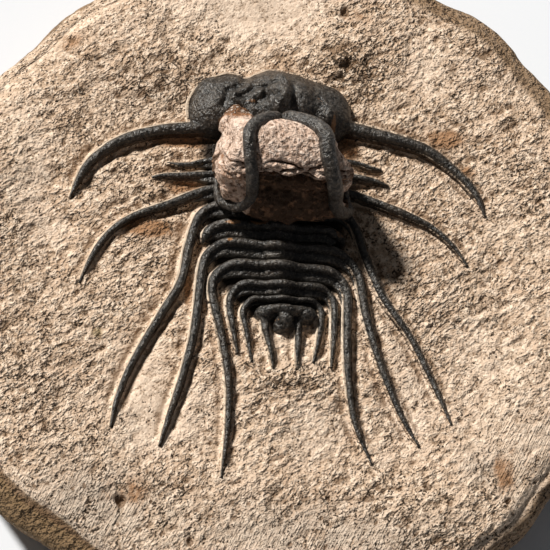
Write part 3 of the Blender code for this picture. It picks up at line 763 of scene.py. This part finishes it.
def buildSlab(material):
    count = slab["cells"]
    line = np.linspace(-1, 1, count + 1)
    line = line * (slab["crowding"] + (1 - slab["crowding"]) * line ** 2)
    u, v = np.meshgrid(line, line)
    discX = (u * np.sqrt(1 - v ** 2 / 2)).ravel()
    discY = (v * np.sqrt(1 - u ** 2 / 2)).ravel()
    share = np.hypot(discX, discY)
    angle = np.arctan2(discY, discX)
    corner, spreadOut, deep = slab["wornCorner"]
    rimTop = slab["side"][0][0]

    def reachAt(angles, height, inset):
        chip = slab["chip"] * np.sin(5 * angles + height) * np.sin(11 * angles + 2 * height)
        off = (np.degrees(angles) % 360 - corner) / spreadOut
        wear = deep * np.exp(-off ** 2) * ease(10, rimTop, np.asarray(height, float))
        return slabReach(angles) - inset - wear - chip

    reach = share * reachAt(angle, *slab["side"][0])
    x, y = reach * np.cos(angle), reach * np.sin(angle)
    fromEdge = slabReach(angle) - reach
    drop = np.interp(fromEdge, *np.array(slab["edgeDrop"]).T)
    relief, rough = slabRelief(x, y)
    relief *= ease(*slab["reliefFrom"], fromEdge)
    top = np.column_stack((x, y, ground(x, y) - drop + relief))

    # the top is a square grid drawn out to the slab's outline; rings below its border close it
    index = np.arange((count + 1) ** 2).reshape(count + 1, count + 1)
    low = index[:-1, :-1].ravel()
    faces = np.column_stack((low, low + 1, low + count + 2, low + count + 1)).tolist()
    above = np.concatenate((index[0, :-1], index[:-1, -1], index[-1, :0:-1], index[:0:-1, 0]))
    size = len(above)
    borderAngle = angle[above]
    points = [top]
    total = len(top)
    dentDepth, dentSize, dentMean = slab["dents"]
    waveHeight, waveSize = slab["sideWaves"]
    for height, inset in slab["side"][1:]:
        out = reachAt(borderAngle, height, inset)
        level = np.full(size, height, float)
        ring = np.column_stack((out * np.cos(borderAngle), out * np.sin(borderAngle), level))
        if height > 0:
            dent = dentDepth * fractal(ring, dentSize, 41, 4, 0.6) + dentMean
            dent = dent * ease(rimTop + 0.1, rimTop - 1, level)
            ring[:, :2] *= (1 - dent / out)[:, None]
            ring[:, 2] += waveHeight * noise(ring, waveSize, 47)
        below = np.arange(total, total + size)
        quads = np.column_stack((above, np.roll(above, -1), np.roll(below, -1), below))
        faces += quads[:, ::-1].tolist()
        points.append(ring)
        above = below
        total += size
    faces.append(tuple(above.tolist()))
    points = np.concatenate(points)
    half = np.array(slab["halfSize"])
    points[:, :2] = np.clip(points[:, :2], -half, half)
    points[:, 2] = np.maximum(points[:, 2], 0)
    mesh = joined("matrixSlab", [outward(newMesh("main", points, faces))] + bankMeshes())

    # values that the stone's finish reads
    lit = readVectors(mesh, "normal") @ slab["litFrom"]
    isBank = np.arange(len(lit)) >= len(points)
    spare = np.ones(len(lit) - len(top))
    points = readPoints(mesh)
    x, y, z = points.T
    edge = slabReach(np.arctan2(y, x)) - np.hypot(x, y)
    onSide = fall(12.4, 14.2, z)
    upperRight = ease(0.2, 0.8, toward(x, y, 47))
    rind = fall(3, 4.6 + 3.6 * upperRight, edge) * (0.25 + 0.75 * upperRight)
    rind = np.maximum(onSide, rind)
    # On the side toward the key light, at about 138 degrees, most of the crust's colour is taken off so
    # that edge reads paler: painted light over a real crust.
    rind *= 1 - 0.75 * ease(0.6, 0.95, toward(x, y, 138)) * (z > 11.5)
    mossy = onSide * ease(0.5, 0.95, toward(x, y, corner))
    addValues(
        mesh,
        hollow=hollowness(mesh, 5),
        rust=patches(x, y, slab["rust"]),
        moss=np.maximum(patches(x, y, slab["moss"]), mossy),
        ash=patches(x, y, slab["ash"]),
        cut=patches(x, y, slab["ground"]) * (1 - onSide),
        rind=rind,
        rough=np.concatenate((rough, spare)),
        # stone under the body and on bank faces turned from the key light is marked for painted shade,
        # near black
        soil=np.maximum(underBody(x, y) * (z < 18), 0.85 * fall(0.1, 0.42, lit) * isBank),
        # bank faces turned to the key light are marked for a pale painted highlight
        rim=ease(0.38, 0.65, lit) * isBank,
    )
    showPiece("matrixSlab", mesh, material, "matrix_slab")


limestoneTints = {
    "sand": (0.545, 0.385, 0.268),
    "paleSand": (0.63, 0.47, 0.345),
    "cream": (0.7, 0.545, 0.42),
    "tan": (0.4, 0.27, 0.17),
    "roughStone": (0.38, 0.26, 0.17),
    "calmStone": (0.8, 0.635, 0.505),
    # pale, for painted highlights on raised facets
    "facetHighlights": (0.92, 0.75, 0.6),
    # the next two darken grooves and grit where the bump sinks: the stone's own dark grain with painted
    # shade
    "gouges": (0.33, 0.22, 0.14),
    "grit": (0.2, 0.125, 0.072),
    # pale, for the painted highlight on bank faces turned to the key light
    "litBankHighlight": (0.84, 0.71, 0.57),
    "ash": (0.37, 0.31, 0.26),
    "scratches": (0.7, 0.58, 0.47),
    "rust": (0.29, 0.14, 0.058),
    "moss": (0.2, 0.145, 0.05),
    "rind": (0.22, 0.135, 0.07),
    # dark, for the stone's dark grains with painted shade in pits
    "specksAndPitShade": (0.042, 0.027, 0.017),
    # painted shade in hollows of the mesh
    "hollowShade": (0.17, 0.1, 0.055),
    # painted shade under the body and on bank faces turned from the key light
    "soil": (0.024, 0.018, 0.014),
}


def limestoneFinish():
    f = Finish("paleLimestone", limestoneTints)
    rough = f.made("rough")
    cut = f.made("cut")
    rim = f.made("rim")
    bare = 1 - rim
    broad = f.grain(16, 3, seed=1)
    patch = f.grain(3.2, 4, 0.6, seed=2)
    fine = f.grain(0.8, 3, 0.6, seed=3)
    drawn = f.grain(1.1, 2, 0.55, (38, (1.5, 0.95, 1)), 5)
    speck = f.grain(0.4, 1, 0.5, (38, (1.2, 0.95, 1)), 4)
    facet = f.grain(0.7, 2, 0.6, (38, (1.15, 0.95, 1)), 6)
    grit = f.grain(0.42, 1, 0.5, seed=8)
    scratch = f.grain(0.42, 2, 0.5, (63, (9, 0.6, 1)), 7)
    # where the noise, and with it the bump, sinks: the stone's dark grains together with painted pit
    # shade
    dark = f.step(speck + drawn * 0.35 + patch * 0.5 - rough * 0.1, 0.73, 0.66)

    f.layer("paleSand", f.step(broad, 0.35, 0.65))
    f.layer("cream", f.step(patch, 0.42, 0.66) * 0.5)
    f.layer("tan", f.step(patch, 0.5, 0.3) * 0.4)
    f.layer("roughStone", f.step(rough + patch * 0.4, 1, 1.9) * 0.45)
    f.layer("calmStone", f.step(rough, 0.8, 0.3) * 0.6)
    # painted highlight: pale where the stretched facet noise, which the bump raises, is high
    f.layer("facetHighlights", f.step(facet, 0.49, 0.58) * bare * 0.65)
    # the next two are darker where the bump sinks: the stone's own grain with painted shade in grooves
    # and pits
    f.layer("gouges", f.step(drawn, 0.47, 0.36) * bare * 0.4)
    f.layer("grit", f.step(grit + drawn * 0.5, 0.66, 0.56) * bare * 0.75)
    # painted highlight: bank faces turned to the key light are painted pale
    f.layer("litBankHighlight", rim * 0.75)
    f.layer("ash", f.made("ash") * f.step(patch, 0.25, 0.55) * 0.75)
    f.layer("scratches", cut * f.step(scratch, 0.44, 0.58) * 0.55)
    f.layer("rust", f.step(f.made("rust") * 0.75 + patch * 1.1 + facet * 0.4, 0.95, 1.3) * 0.85)
    f.layer("moss", f.step(f.made("moss") + patch * 0.8 + facet * 0.6, 0.95, 1.5) * 0.7)
    f.layer("rind", f.step(f.made("rind") + patch * 0.6 + facet * 0.5, 0.8, 1.3) * 0.8)
    # the stone's dark grains with painted shade in the pits
    f.layer("specksAndPitShade", dark * bare * 0.95)
    # painted shade: darker in hollows of the mesh
    f.layer("hollowShade", f.step(f.made("hollow"), 0.02, 0.16) * 0.75)
    # painted shade: near black under the body and on bank faces turned from the key light
    f.layer("soil", f.made("soil"))
    height = (fine * 0.7 + drawn * 1.5) * rough * (1 - cut * 0.6) - dark * 0.12
    height = height + (facet * 0.68 + grit * 0.4) * (0.12 + rough * 0.8)
    height = height + scratch * cut * 0.6
    return f.done(0.92, 0.2, height * (1 - rim * 0.6))


# From the rear foot over the top to the front foot: place across, share of the height
ridgeProfile = ((-1, 0), (-0.97, 0.35), (-0.9, 0.58), (-0.76, 0.77), (-0.56, 0.9),
                (-0.3, 0.98), (0, 1), (0.3, 0.98), (0.56, 0.9), (0.76, 0.77), (0.9, 0.58),
                (0.97, 0.35), (1, 0))
# The lower shelf behind the ridge of a plate, from its rear foot to the ridge's foot
shelfProfile = ((0, 0.2), (0.04, 0.36), (0.14, 0.44), (0.4, 0.5), (0.75, 0.54), (1, 0.58))


# A band that lies on the slab, swept along its stations. A ridge runs all along it,
# and a lower shelf behind the ridge where the band crosses the body.
def lyingBand(name, stations, spacing, ridgeSize=20, shelfSize=9):
    line = curveThrough(stations, spacing)
    x, y, width, height, shelf, axis = line.T
    shelf = np.maximum(shelf, 0)
    heading = np.gradient(line[:, :2], axis=0)
    for turn in range(3):
        heading[1:-1] = (heading[:-2] + 2 * heading[1:-1] + heading[2:]) / 4
    heading = unit(heading)
    across = np.sin(np.linspace(-0.5, 0.5, ridgeSize) * math.pi)
    behind = np.linspace(0, 1, shelfSize, endpoint=False)
    ridgeRise = np.interp(across, *np.array(ridgeProfile).T)
    shelfRise = np.interp(behind, *np.array(shelfProfile).T)
    has = ease(0, 0.7, shelf)[:, None]
    shelfOut = -0.5 * width[:, None] - shelf[:, None] * (1 - behind)
    out = np.hstack((shelfOut, 0.5 * width[:, None] * across))
    lowest = shelfProfile[-1][1] * has * (across < 0) + 0.32 * has * (across >= 0)
    rise = np.hstack((shelfRise * has, np.maximum(ridgeRise, lowest)))
    rise = mix(rise, rise ** 0.6, np.clip(axis, 0, 1)[:, None])
    base = ground(x, y)
    size = ridgeSize + shelfSize
    rings = np.zeros((len(line), size + 2, 3))
    rings[:, 1:-1, 0] = x[:, None] - heading[:, 1:] * out
    rings[:, 1:-1, 1] = y[:, None] + heading[:, :1] * out
    rings[:, 1:-1, 2] = base[:, None] + rise * height[:, None]
    for column, end in ((0, 1), (-1, -2)):
        rings[:, column, :2] = rings[:, end, :2]
        rings[:, column, 2] = base - body["sink"]
    return outward(newMesh(name, rings.reshape(-1, 3), ringFaces(len(line), size + 2)))


# The left spine, the arch over the body and the right spine, in one line
def plateStations(plate):
    y, crest, ridge = plate["axisY"], plate["crest"], plate["ridge"]
    centre = bodyMiddle(y)
    shelf = plate["shelf"] * body["shelfShare"]
    forward = 0.5 * shelf
    left = spineStations(plate["left"], plate["spine"])
    right = spineStations(plate["right"], plate["spine"])
    sides = []
    for spine, sideY, turn in ((left, plate["leftY"], -1), (right, plate["rightY"], 1)):
        spine[-2:, 4] = (0.3 * shelf, 0.85 * shelf)
        foot = centre + turn * (body["axisHalfWidth"] * plate["axis"])
        fold = mix(spine[-1][0], foot, 0.35)
        sides.append([
            (fold, sideY + 0.7 * forward, ridge, 0.62 * crest, shelf, 0),
            (foot, mix(sideY, y, 0.7) + forward, ridge, 0.68 * crest, shelf, 0),
            (foot - turn * 1.5, mix(sideY, y, 0.9) + forward, ridge, 0.88 * crest, shelf, 0.4),
        ])
    arch = sides[0] + [(centre, y + forward, ridge, crest, shelf, 0.7)] + sides[1][::-1]
    return np.concatenate((left, arch, right[::-1]))


# Small unevenness of shell, then the values its finish reads
def weather(mesh, coarse, fine, seed):
    points = readPoints(mesh)
    swell = coarse * fractal(points, 3.1, 51 + seed, 3)
    push(mesh, points, swell + fine * fractal(points, 0.7, 57 + seed, 2, 0.6))
    x, y, z = readPoints(mesh).T
    dirt = patches(x, y, body["dirt"]) * (z < 23.5)
    addValues(mesh, hollow=hollowness(mesh, 4), dirt=dirt)


def buildPlate(number, plate, material):
    name = f"thoraxPlate{number}"
    mesh = lyingBand(name, plateStations(plate), body["spacing"])
    points = readPoints(mesh)
    knobX, knobY = bodyMiddle(plate["axisY"]), plate["axisY"]
    knob = -((points[:, 0] - knobX) / 0.75) ** 2 - ((points[:, 1] - knobY + 0.5) / 0.6) ** 2
    points[:, 2] += 0.3 * np.exp(knob)
    writePoints(mesh, points)
    weather(mesh, 0.09, 0.025, number * 10)
    showPiece(name, mesh, material, f"thorax_segment_{number}")


def buildTail(material):
    band = [(*station, 0, 0) for station in tail["band"]]
    parts = [lyingBand("tailBand", band, 0.3)]
    for route in tail["spines"]:
        parts.append(lyingBand("tailSpine", spineStations(route, tail["spineWidth"]), 0.3))
    parts += [lump("tailLump", *place) for place in tail["lumps"]]
    mesh = fused("tailShield", parts, tail["cell"])
    points = softened(mesh, readPoints(mesh), 5, 0.6)
    uneven = 0.3 * fractal(points, 1.3, 91, 3, 0.6) * ease(-10.8, -9.6, points[:, 1])
    push(mesh, points, uneven)
    weather(mesh, 0.1, 0.03, 7)
    showPiece("tailShield", mesh, material, "pygidium")


def shieldMesh():
    closed = closedCurve(head["outline"], 5)
    rings = []
    for inset, rise in head["rise"]:
        x = closed[:, 0] * (1 - 0.4 * inset)
        y = mix(closed[:, 1], head["ridgeY"], inset)
        taller = 1 + 0.35 * bell(x, 5) * (rise > 0)
        rings.append(np.column_stack((x, y, slab["mound"][4] + rise * taller)))
    faces = ringFaces(len(rings), len(closed))
    return outward(newMesh("shield", np.concatenate(rings), faces))


# A curled horn: up over the loop, down its back and round below, while it moves outward
def hornMesh(side):
    degrees = np.linspace(horn["spread"][0][0], horn["spread"][-1][0], horn["rings"])
    share = np.linspace(0, 1, horn["rings"])
    angle = np.radians(degrees)
    x = easedTable(horn["shift"], degrees) + side * easedTable(horn["spread"], degrees)
    loop = easedTable(horn["loop"], degrees)
    y = horn["y"] + loop * np.cos(angle)
    z = horn["z"] + loop * np.sin(angle)
    radii = 0.5 * mix(horn["thickness"][side], horn["tip"], ease(*horn["taper"], share))
    return tube("horn", np.column_stack((x, y, z)), radii)


def buildHead(material):
    shield = fused("shield", [shieldMesh()], 0.3, lump("gap", *head["gap"]))
    parts = [shield] + [lump("swelling", *place) for place in head["lumps"]]
    for route, width in zip((head["genalLeft"], head["genalRight"]), head["genalWidths"]):
        parts.append(lyingBand("genal", spineStations(route, width), 0.3))
    parts += [hornMesh(-1), hornMesh(1)]
    mesh = fused("headShield", parts, head["cell"])
    points = softened(mesh, readPoints(mesh), 3, 0.6)
    even = softened(mesh, points, 45, 0.7)
    x, y, z = points.T
    inX, inY, underZ = head["smoothRight"]
    rightHalf = ease(*inX, x) * ease(*inY, y) * fall(*underZ, z)
    points = mix(points, even, rightHalf[:, None])
    writePoints(mesh, points)
    x, y, z = points.T
    facing = ease(0.1, 0.6, readVectors(mesh, "normal")[:, 2]) * fall(23.3, 24.2, z)
    sculpt = np.zeros(len(points))
    for route, width, depth in head["furrows"]:
        sculpt -= depth * bell(nearRoute(x, y, route)[0], width)
    for route, width, height in head["ridges"]:
        sculpt += height * bell(nearRoute(x, y, route)[0], width)
    crown = patches(x, y, head["crown"]) * facing
    sculpt += crown * (0.28 * fractal(points, 1.9, 61, 3) + 0.16 * fractal(points, 0.7, 67, 2))
    points[:, 2] += sculpt * facing
    writePoints(mesh, points)
    weather(mesh, 0.1, 0.025, 3)
    showPiece("headShield", mesh, material, "cephalon")


shellTints = {
    "black": (0.0085, 0.0075, 0.0065),
    "grey": (0.052, 0.045, 0.039),
    "brown": (0.042, 0.028, 0.018),
    "wornEdges": (0.085, 0.074, 0.063),
    # near black, for painted shade in creases
    "creaseShade": (0.004, 0.0034, 0.003),
    # pale flecks, partly painted glints
    "flecksAndHighlights": (0.17, 0.147, 0.123),
    "pores": (0.005, 0.004, 0.0035),
    "dirt": (0.3, 0.14, 0.05),
}


def shellFinish():
    f = Finish("darkShell", shellTints)
    hollow = f.made("hollow")
    broad = f.grain(5, 3, seed=11)
    patch = f.grain(1.1, 4, 0.65, seed=12)
    fine = f.grain(0.42, 2, 0.6, seed=13)
    pitted = f.grain(0.7, 2, 0.6, seed=14)
    f.layer("grey", f.step(patch, 0.38, 0.62))
    f.layer("brown", f.step(broad, 0.5, 0.7) * 0.6)
    f.layer("wornEdges", f.step(hollow, -0.02, -0.12) * 0.4)
    # painted shade: near black in the creases of the shell
    f.layer("creaseShade", f.step(hollow, 0.005, 0.05) * 0.85)
    # pale where the fine bump is high: the shell's own flecks together with painted glints
    f.layer("flecksAndHighlights", f.step(fine, 0.54, 0.65) * 0.55)
    f.layer("pores", f.step(fine, 0.46, 0.38) * 0.7)
    f.layer("dirt", f.step(f.made("dirt") + broad * 0.25 + fine * 0.8, 0.95, 1.25) * 0.85)
    return f.done(0.12 + pitted * 0.5, 0.6, fine * 0.14 + pitted * 0.3 + patch * 0.6)


# The stone that was left between and inside the horns. A turn is in degrees about its
# length, from the front over the top.
core = {
    "middleX": -0.2,
    "halfWidth": 11.7,
    "radius": 6.3,
    # place along it as a share, fullness
    "shape": ((0, 1.06), (0.3, 1.05), (0.6, 1.03), (0.8, 1), (0.92, 0.93), (0.98, 0.75), (1, 0.45)),
    # share of the radius, by turn from the front over the top
    "girth": ((0, 0.87), (30, 0.88), (75, 1), (300, 1), (360, 0.87)),
    # x, how far behind and below the barrel's middle, radius
    "foot": ((-10.7, 3.9, 2.6, 2.4), (-9.6, 3.9, 2.6, 3.8), (-6.4, 4, 2.8, 4.2), (-4, 5.5, 4, 4.4),
        (1.5, 5.9, 4.2, 4.5), (6.9, 5.5, 4, 4.4), (9, 4, 2.8, 3.9), (10.5, 3.9, 2.6, 2.2)),
    # half width at the top, front and rear, below, as shares, by turn from the front over the top
    "taperLeft": ((0, 0.84), (90, 0.8), (180, 0.98), (270, 1), (360, 0.84)),
    "taperRight": ((0, 0.55), (60, 0.6), (90, 0.72), (130, 0.93), (165, 1), (270, 0.97), (360, 0.55)),
    # middle, radii
    "tongue": (((-7.5, 25.5, 20), (2.6, 2.9, 2.8)), ((-6.9, 27, 19.2), (1.7, 1.6, 1.7)),
        ((-8.6, 24.4, 20.6), (2, 2, 2.4)), ((-6.6, 24.9, 21.5), (1.8, 1.9, 2))),
    # half width, height, length
    "arch": (6.5, 4.75, 40),
    # cracks across its back: (turn in degrees, depth, width)
    "cracks": ((132, 0.9, 1.8), (139, 1.1, 2), (145, 1, 2), (152, 1, 2.4)),
    # x, y, z, radius
    "hole": (-9.6, 14.6, 19.8, 1.5),
    "cell": 0.2,
    # limits in turn: where each begins, is whole, fades and ends
    "rear": (144, 154, 235, 260),
    "broken": (125, 135, 158, 170),
    "stained": (138, 150, 160, 175),
    "rearMiddle": 1.6,
    "rearHalf": (6.6, 7.6),
    "footFrom": (208, 188),  # turn where the rough foot begins, at the left and elsewhere
    "footEnd": (250, 265),
    "baseHeight": 15,
}


def turnOf(y, z):
    return np.degrees(np.arctan2(z - horn["z"], y - horn["y"])) % 360


def coreBarrel():
    mirrored = [(-share, full) for share, full in core["shape"][::-1]]
    stations = [(core["middleX"] + share * core["halfWidth"], horn["y"], horn["z"],
                 core["radius"] * full) for share, full in mirrored + list(core["shape"][1:])]
    line = curveThrough(stations, 0.3, 3)
    barrel = tube("barrel", line[:, :3], line[:, 3], 64)
    points = readPoints(barrel)
    x, y, z = points.T
    turn = turnOf(y, z)
    tapers = [easedTable(core[name], turn) for name in ("taperLeft", "taperRight")]
    points[:, 0] *= np.where(x < 0, *tapers)
    axis = np.array((horn["y"], horn["z"]))
    points[:, 1:] = axis + (points[:, 1:] - axis) * easedTable(core["girth"], turn)[:, None]
    writePoints(barrel, points)
    return barrel


def coreFoot():
    foot = [(x, horn["y"] - rear, horn["z"] - low, radius) for x, rear, low, radius in core["foot"]]
    foot = curveThrough(foot, 0.4, 3)
    return tube("foot", foot[:, :3], foot[:, 3], 48)


# The tunnel in the stone through which the body passes
def coreArch():
    half, high, long = core["arch"]
    y = np.linspace(-long / 2, long / 2, 8) + horn["y"]
    arch = tube("arch", np.column_stack((0 * y, y, 0 * y)), 0 * y + 1, 40)
    middle = (bodyMiddle(horn["y"]), 0, core["baseHeight"])
    writePoints(arch, readPoints(arch) * (half * 2, 1, high) + middle)
    return arch


def buildCore(material):
    parts = [coreBarrel(), coreFoot()] + [lump("tongue", *place) for place in core["tongue"]]
    mesh = fused("hornCore", parts, core["cell"], coreArch())
    writePoints(mesh, softened(mesh, readPoints(mesh), 2, 0.5))
    points = readPoints(mesh)
    x, y, z = points.T
    turn = turnOf(y, z)
    # behind marks the back face and the foot below it, turned from the key light; the finish paints them
    # near black as painted shade, and the relief there is broken up more
    behind = within(core["rear"], turn)
    behind *= fall(*core["rearHalf"], np.abs(x - core["rearMiddle"]))
    start = mix(*core["footFrom"], ease(-6.5, -4.5, x))
    behind = np.maximum(behind, within((start, start + 11, *core["footEnd"]), turn))
    crown = ease(40, 80, turn) * (1 - behind)
    leftEnd = ease(5.5, 8.5, -x) * ease(22, 26, 44 - z)
    rightEnd = ease(9.3, 10.6, x)
    tongue = ease(23.2, 24.6, y) * (x < -3)

    # layers of breakage, in mm; ledges and ribs run along the stone's length
    still = np.zeros(len(x))
    ledges = fractal(np.column_stack((x / 2.6, turn / 9, still)), 1.1, 71, 3, 0.6)
    ribs = fractal(np.column_stack((x, turn / 22, still)), 1.3, 75, 3, 0.6)
    chunks = fractal(points, 1.5, 77, 3, 0.65)
    pushed = 0.16 * fractal(points, 2.6, 73, 3) + 0.14 * fractal(points, 0.8, 79, 2)
    rear = behind * (0.4 * ledges + 0.7 * chunks) + 0.75 * within(core["broken"], turn) * ledges
    pushed += rear + 0.3 * crown * ribs
    pushed += (0.5 * leftEnd + 0.2 * rightEnd + 0.5 * tongue) * chunks
    for place, deep, wide in core["cracks"]:
        wander = place + 9 * noise(np.column_stack((x, still + place, still)), 3, 83)
        pushed -= deep * bell(turn - wander, wide) * (0.5 + 0.6 * noise(points, 2, 89))
    hx, hy, hz, hr = core["hole"]
    pushed -= 0.9 * bell(np.hypot(x - hx, np.hypot(y - hy, z - hz)), hr)
    push(mesh, points, pushed)
    ochre = tongue * ease(24.6, 26, y) + 0.55 * within(core["stained"], turn)
    # the top of the stone, which the finish paints darker so it reads less lit than the left end: painted
    # shade
    top = ease(55, 80, turn)
    addValues(mesh, hollow=hollowness(mesh, 5), behind=behind, ochre=ochre, crown=top)
    showPiece("hornCore", mesh, material, "horn_core_stone")


coreTints = {
    "pink": (0.7, 0.49, 0.38),
    "palePink": (0.78, 0.59, 0.48),
    "cream": (0.76, 0.62, 0.53),
    "tan": (0.44, 0.28, 0.18),
    # darker, for painted shade on the top of the stone
    "crown": (0.42, 0.29, 0.215),
    "ochre": (0.27, 0.105, 0.032),
    "pocks": (0.03, 0.018, 0.01),
    # painted shade in hollows of the mesh
    "hollowShade": (0.11, 0.055, 0.028),
    # painted shade on the back face and foot: dark, with a brown mottle
    "rearShadeDark": (0.08, 0.045, 0.026),
    "rearShadeBrown": (0.27, 0.145, 0.08),
    "cracks": (0.12, 0.065, 0.035),
    # pale flecks, partly painted highlights
    "flecksAndHighlights": (0.9, 0.76, 0.66),
}


def coreFinish():
    f = Finish("pinkCoreStone", coreTints)
    ochre = f.made("ochre")
    behind = f.made("behind")
    bare = 1 - behind
    broad = f.grain(4, 3, seed=21)
    patch = f.grain(1.2, 3, 0.6, seed=22)
    fine = f.grain(0.6, 3, 0.6, seed=23)
    rearMottle = f.step(patch + fine * 0.4, 0.72, 0.86)
    f.layer("palePink", f.step(broad, 0.35, 0.65))
    f.layer("cream", f.step(patch, 0.45, 0.7) * 0.5)
    f.layer("tan", f.step(patch, 0.45, 0.25) * 0.5)
    # painted shade: the top of the stone is darkened so it reads less lit than the left end
    f.layer("crown", f.made("crown") * 0.3)
    f.layer("ochre", f.step(ochre + patch * 0.7, 0.75, 1.05) * 0.85)
    f.layer("pocks", f.step(ochre + fine * 0.9, 1.35, 1.5) * 0.8)
    # painted shade: darker in hollows of the mesh
    f.layer("hollowShade", f.step(f.made("hollow"), 0.01, 0.1) * 0.9)
    # painted shade: the back face and foot are painted near black with a brown mottle
    rear = f.between(rearMottle, coreTints["rearShadeDark"], coreTints["rearShadeBrown"])
    f.layer(rear, f.step(behind + patch * 0.8, 0.75, 1.15) * 0.95)
    f.layer("cracks", f.step(fine, 0.47, 0.37) * 0.8 * bare)
    # pale where the fine bump is high: the stone's own flecks together with painted highlights
    f.layer("flecksAndHighlights", f.step(fine, 0.53, 0.62) * 0.65 * bare)
    return f.done(0.9, 0.2, fine * 1 + patch * 0.9)


floorLook = {
    "size": 3,  # metres
    "tints": {"paper": (0.83, 0.86, 0.92), "shade": (0.78, 0.8, 0.84)},
}


def buildFloor():
    half = floorLook["size"] / 2
    corners = [(-half, -half, 0), (half, -half, 0), (half, half, 0), (-half, half, 0)]
    mesh = bpy.data.meshes.new("floor")
    mesh.from_pydata(corners, [], [(0, 1, 2, 3)])
    f = Finish("plainFloor", floorLook["tints"])
    f.layer("shade", f.grain(60, 2, seed=31) * 0.06)
    mesh.materials.append(f.done(0.8, 0.5))
    newObject("floor", mesh)


light = {
    "sunFrom": 137,  # degrees anticlockwise from +X
    "sunHeight": 37.5,
    "sunStrength": 5.4,
    "sunWidth": 7,
    "sunColour": (1, 0.965, 0.9),
    "fill": 0.07,
    "fillColour": (0.95, 0.97, 1),
}


def buildLight():
    sun = bpy.data.lights.new("keyLight", "SUN")
    sun.energy = light["sunStrength"]
    sun.angle = math.radians(light["sunWidth"])
    sun.color = light["sunColour"]
    item = newObject("keyLight", sun)
    turn, lift = math.radians(light["sunFrom"]), math.radians(light["sunHeight"])
    level = math.cos(lift)
    source = Vector((math.cos(turn) * level, math.sin(turn) * level, math.sin(lift)))
    item.rotation_mode = "QUATERNION"
    item.rotation_quaternion = source.to_track_quat("Z", "Y")
    item.location = source
    world = bpy.data.worlds.new("studio")
    world.use_nodes = True
    sky = world.node_tree.nodes["Background"]
    sky.inputs["Color"].default_value = (*light["fillColour"], 1)
    sky.inputs["Strength"].default_value = light["fill"]
    bpy.context.scene.world = world
    bpy.context.scene.view_settings.view_transform = "Standard"


view = {
    "target": (0, 0, 15),
    "back": (-0.16, -0.34),  # how far the view leans off straight down
    "distance": 467.5,
    "lens": 180,
    "sensor": 36,
    "clip": (0.02, 20),  # metres
}


def buildCamera():
    leanX, leanY = view["back"]
    back = Vector((leanX, leanY, math.sqrt(1 - leanX ** 2 - leanY ** 2)))
    right = Vector((0, 1, 0)).cross(back).normalized()
    camera = newObject("photoView", bpy.data.cameras.new("photoView"))
    camera.data.lens = view["lens"]
    camera.data.sensor_width = view["sensor"]
    camera.data.clip_start, camera.data.clip_end = view["clip"]
    placed = Matrix((right, back.cross(right), back)).transposed().to_4x4()
    placed.translation = (Vector(view["target"]) + back * view["distance"]) * mm
    camera.matrix_world = placed
    bpy.context.scene.camera = camera


buildCamera()
buildFloor()
buildLight()
print("camera, floor and light are set")
buildSlab(limestoneFinish())
print("slab done")
shell = shellFinish()
for number, plate in enumerate(plates, 1):
    buildPlate(number, plate, shell)
buildTail(shell)
print("thorax and tail done")
buildHead(shell)
print("head and horns done")
buildCore(coreFinish())
print("stone inside the horns done")
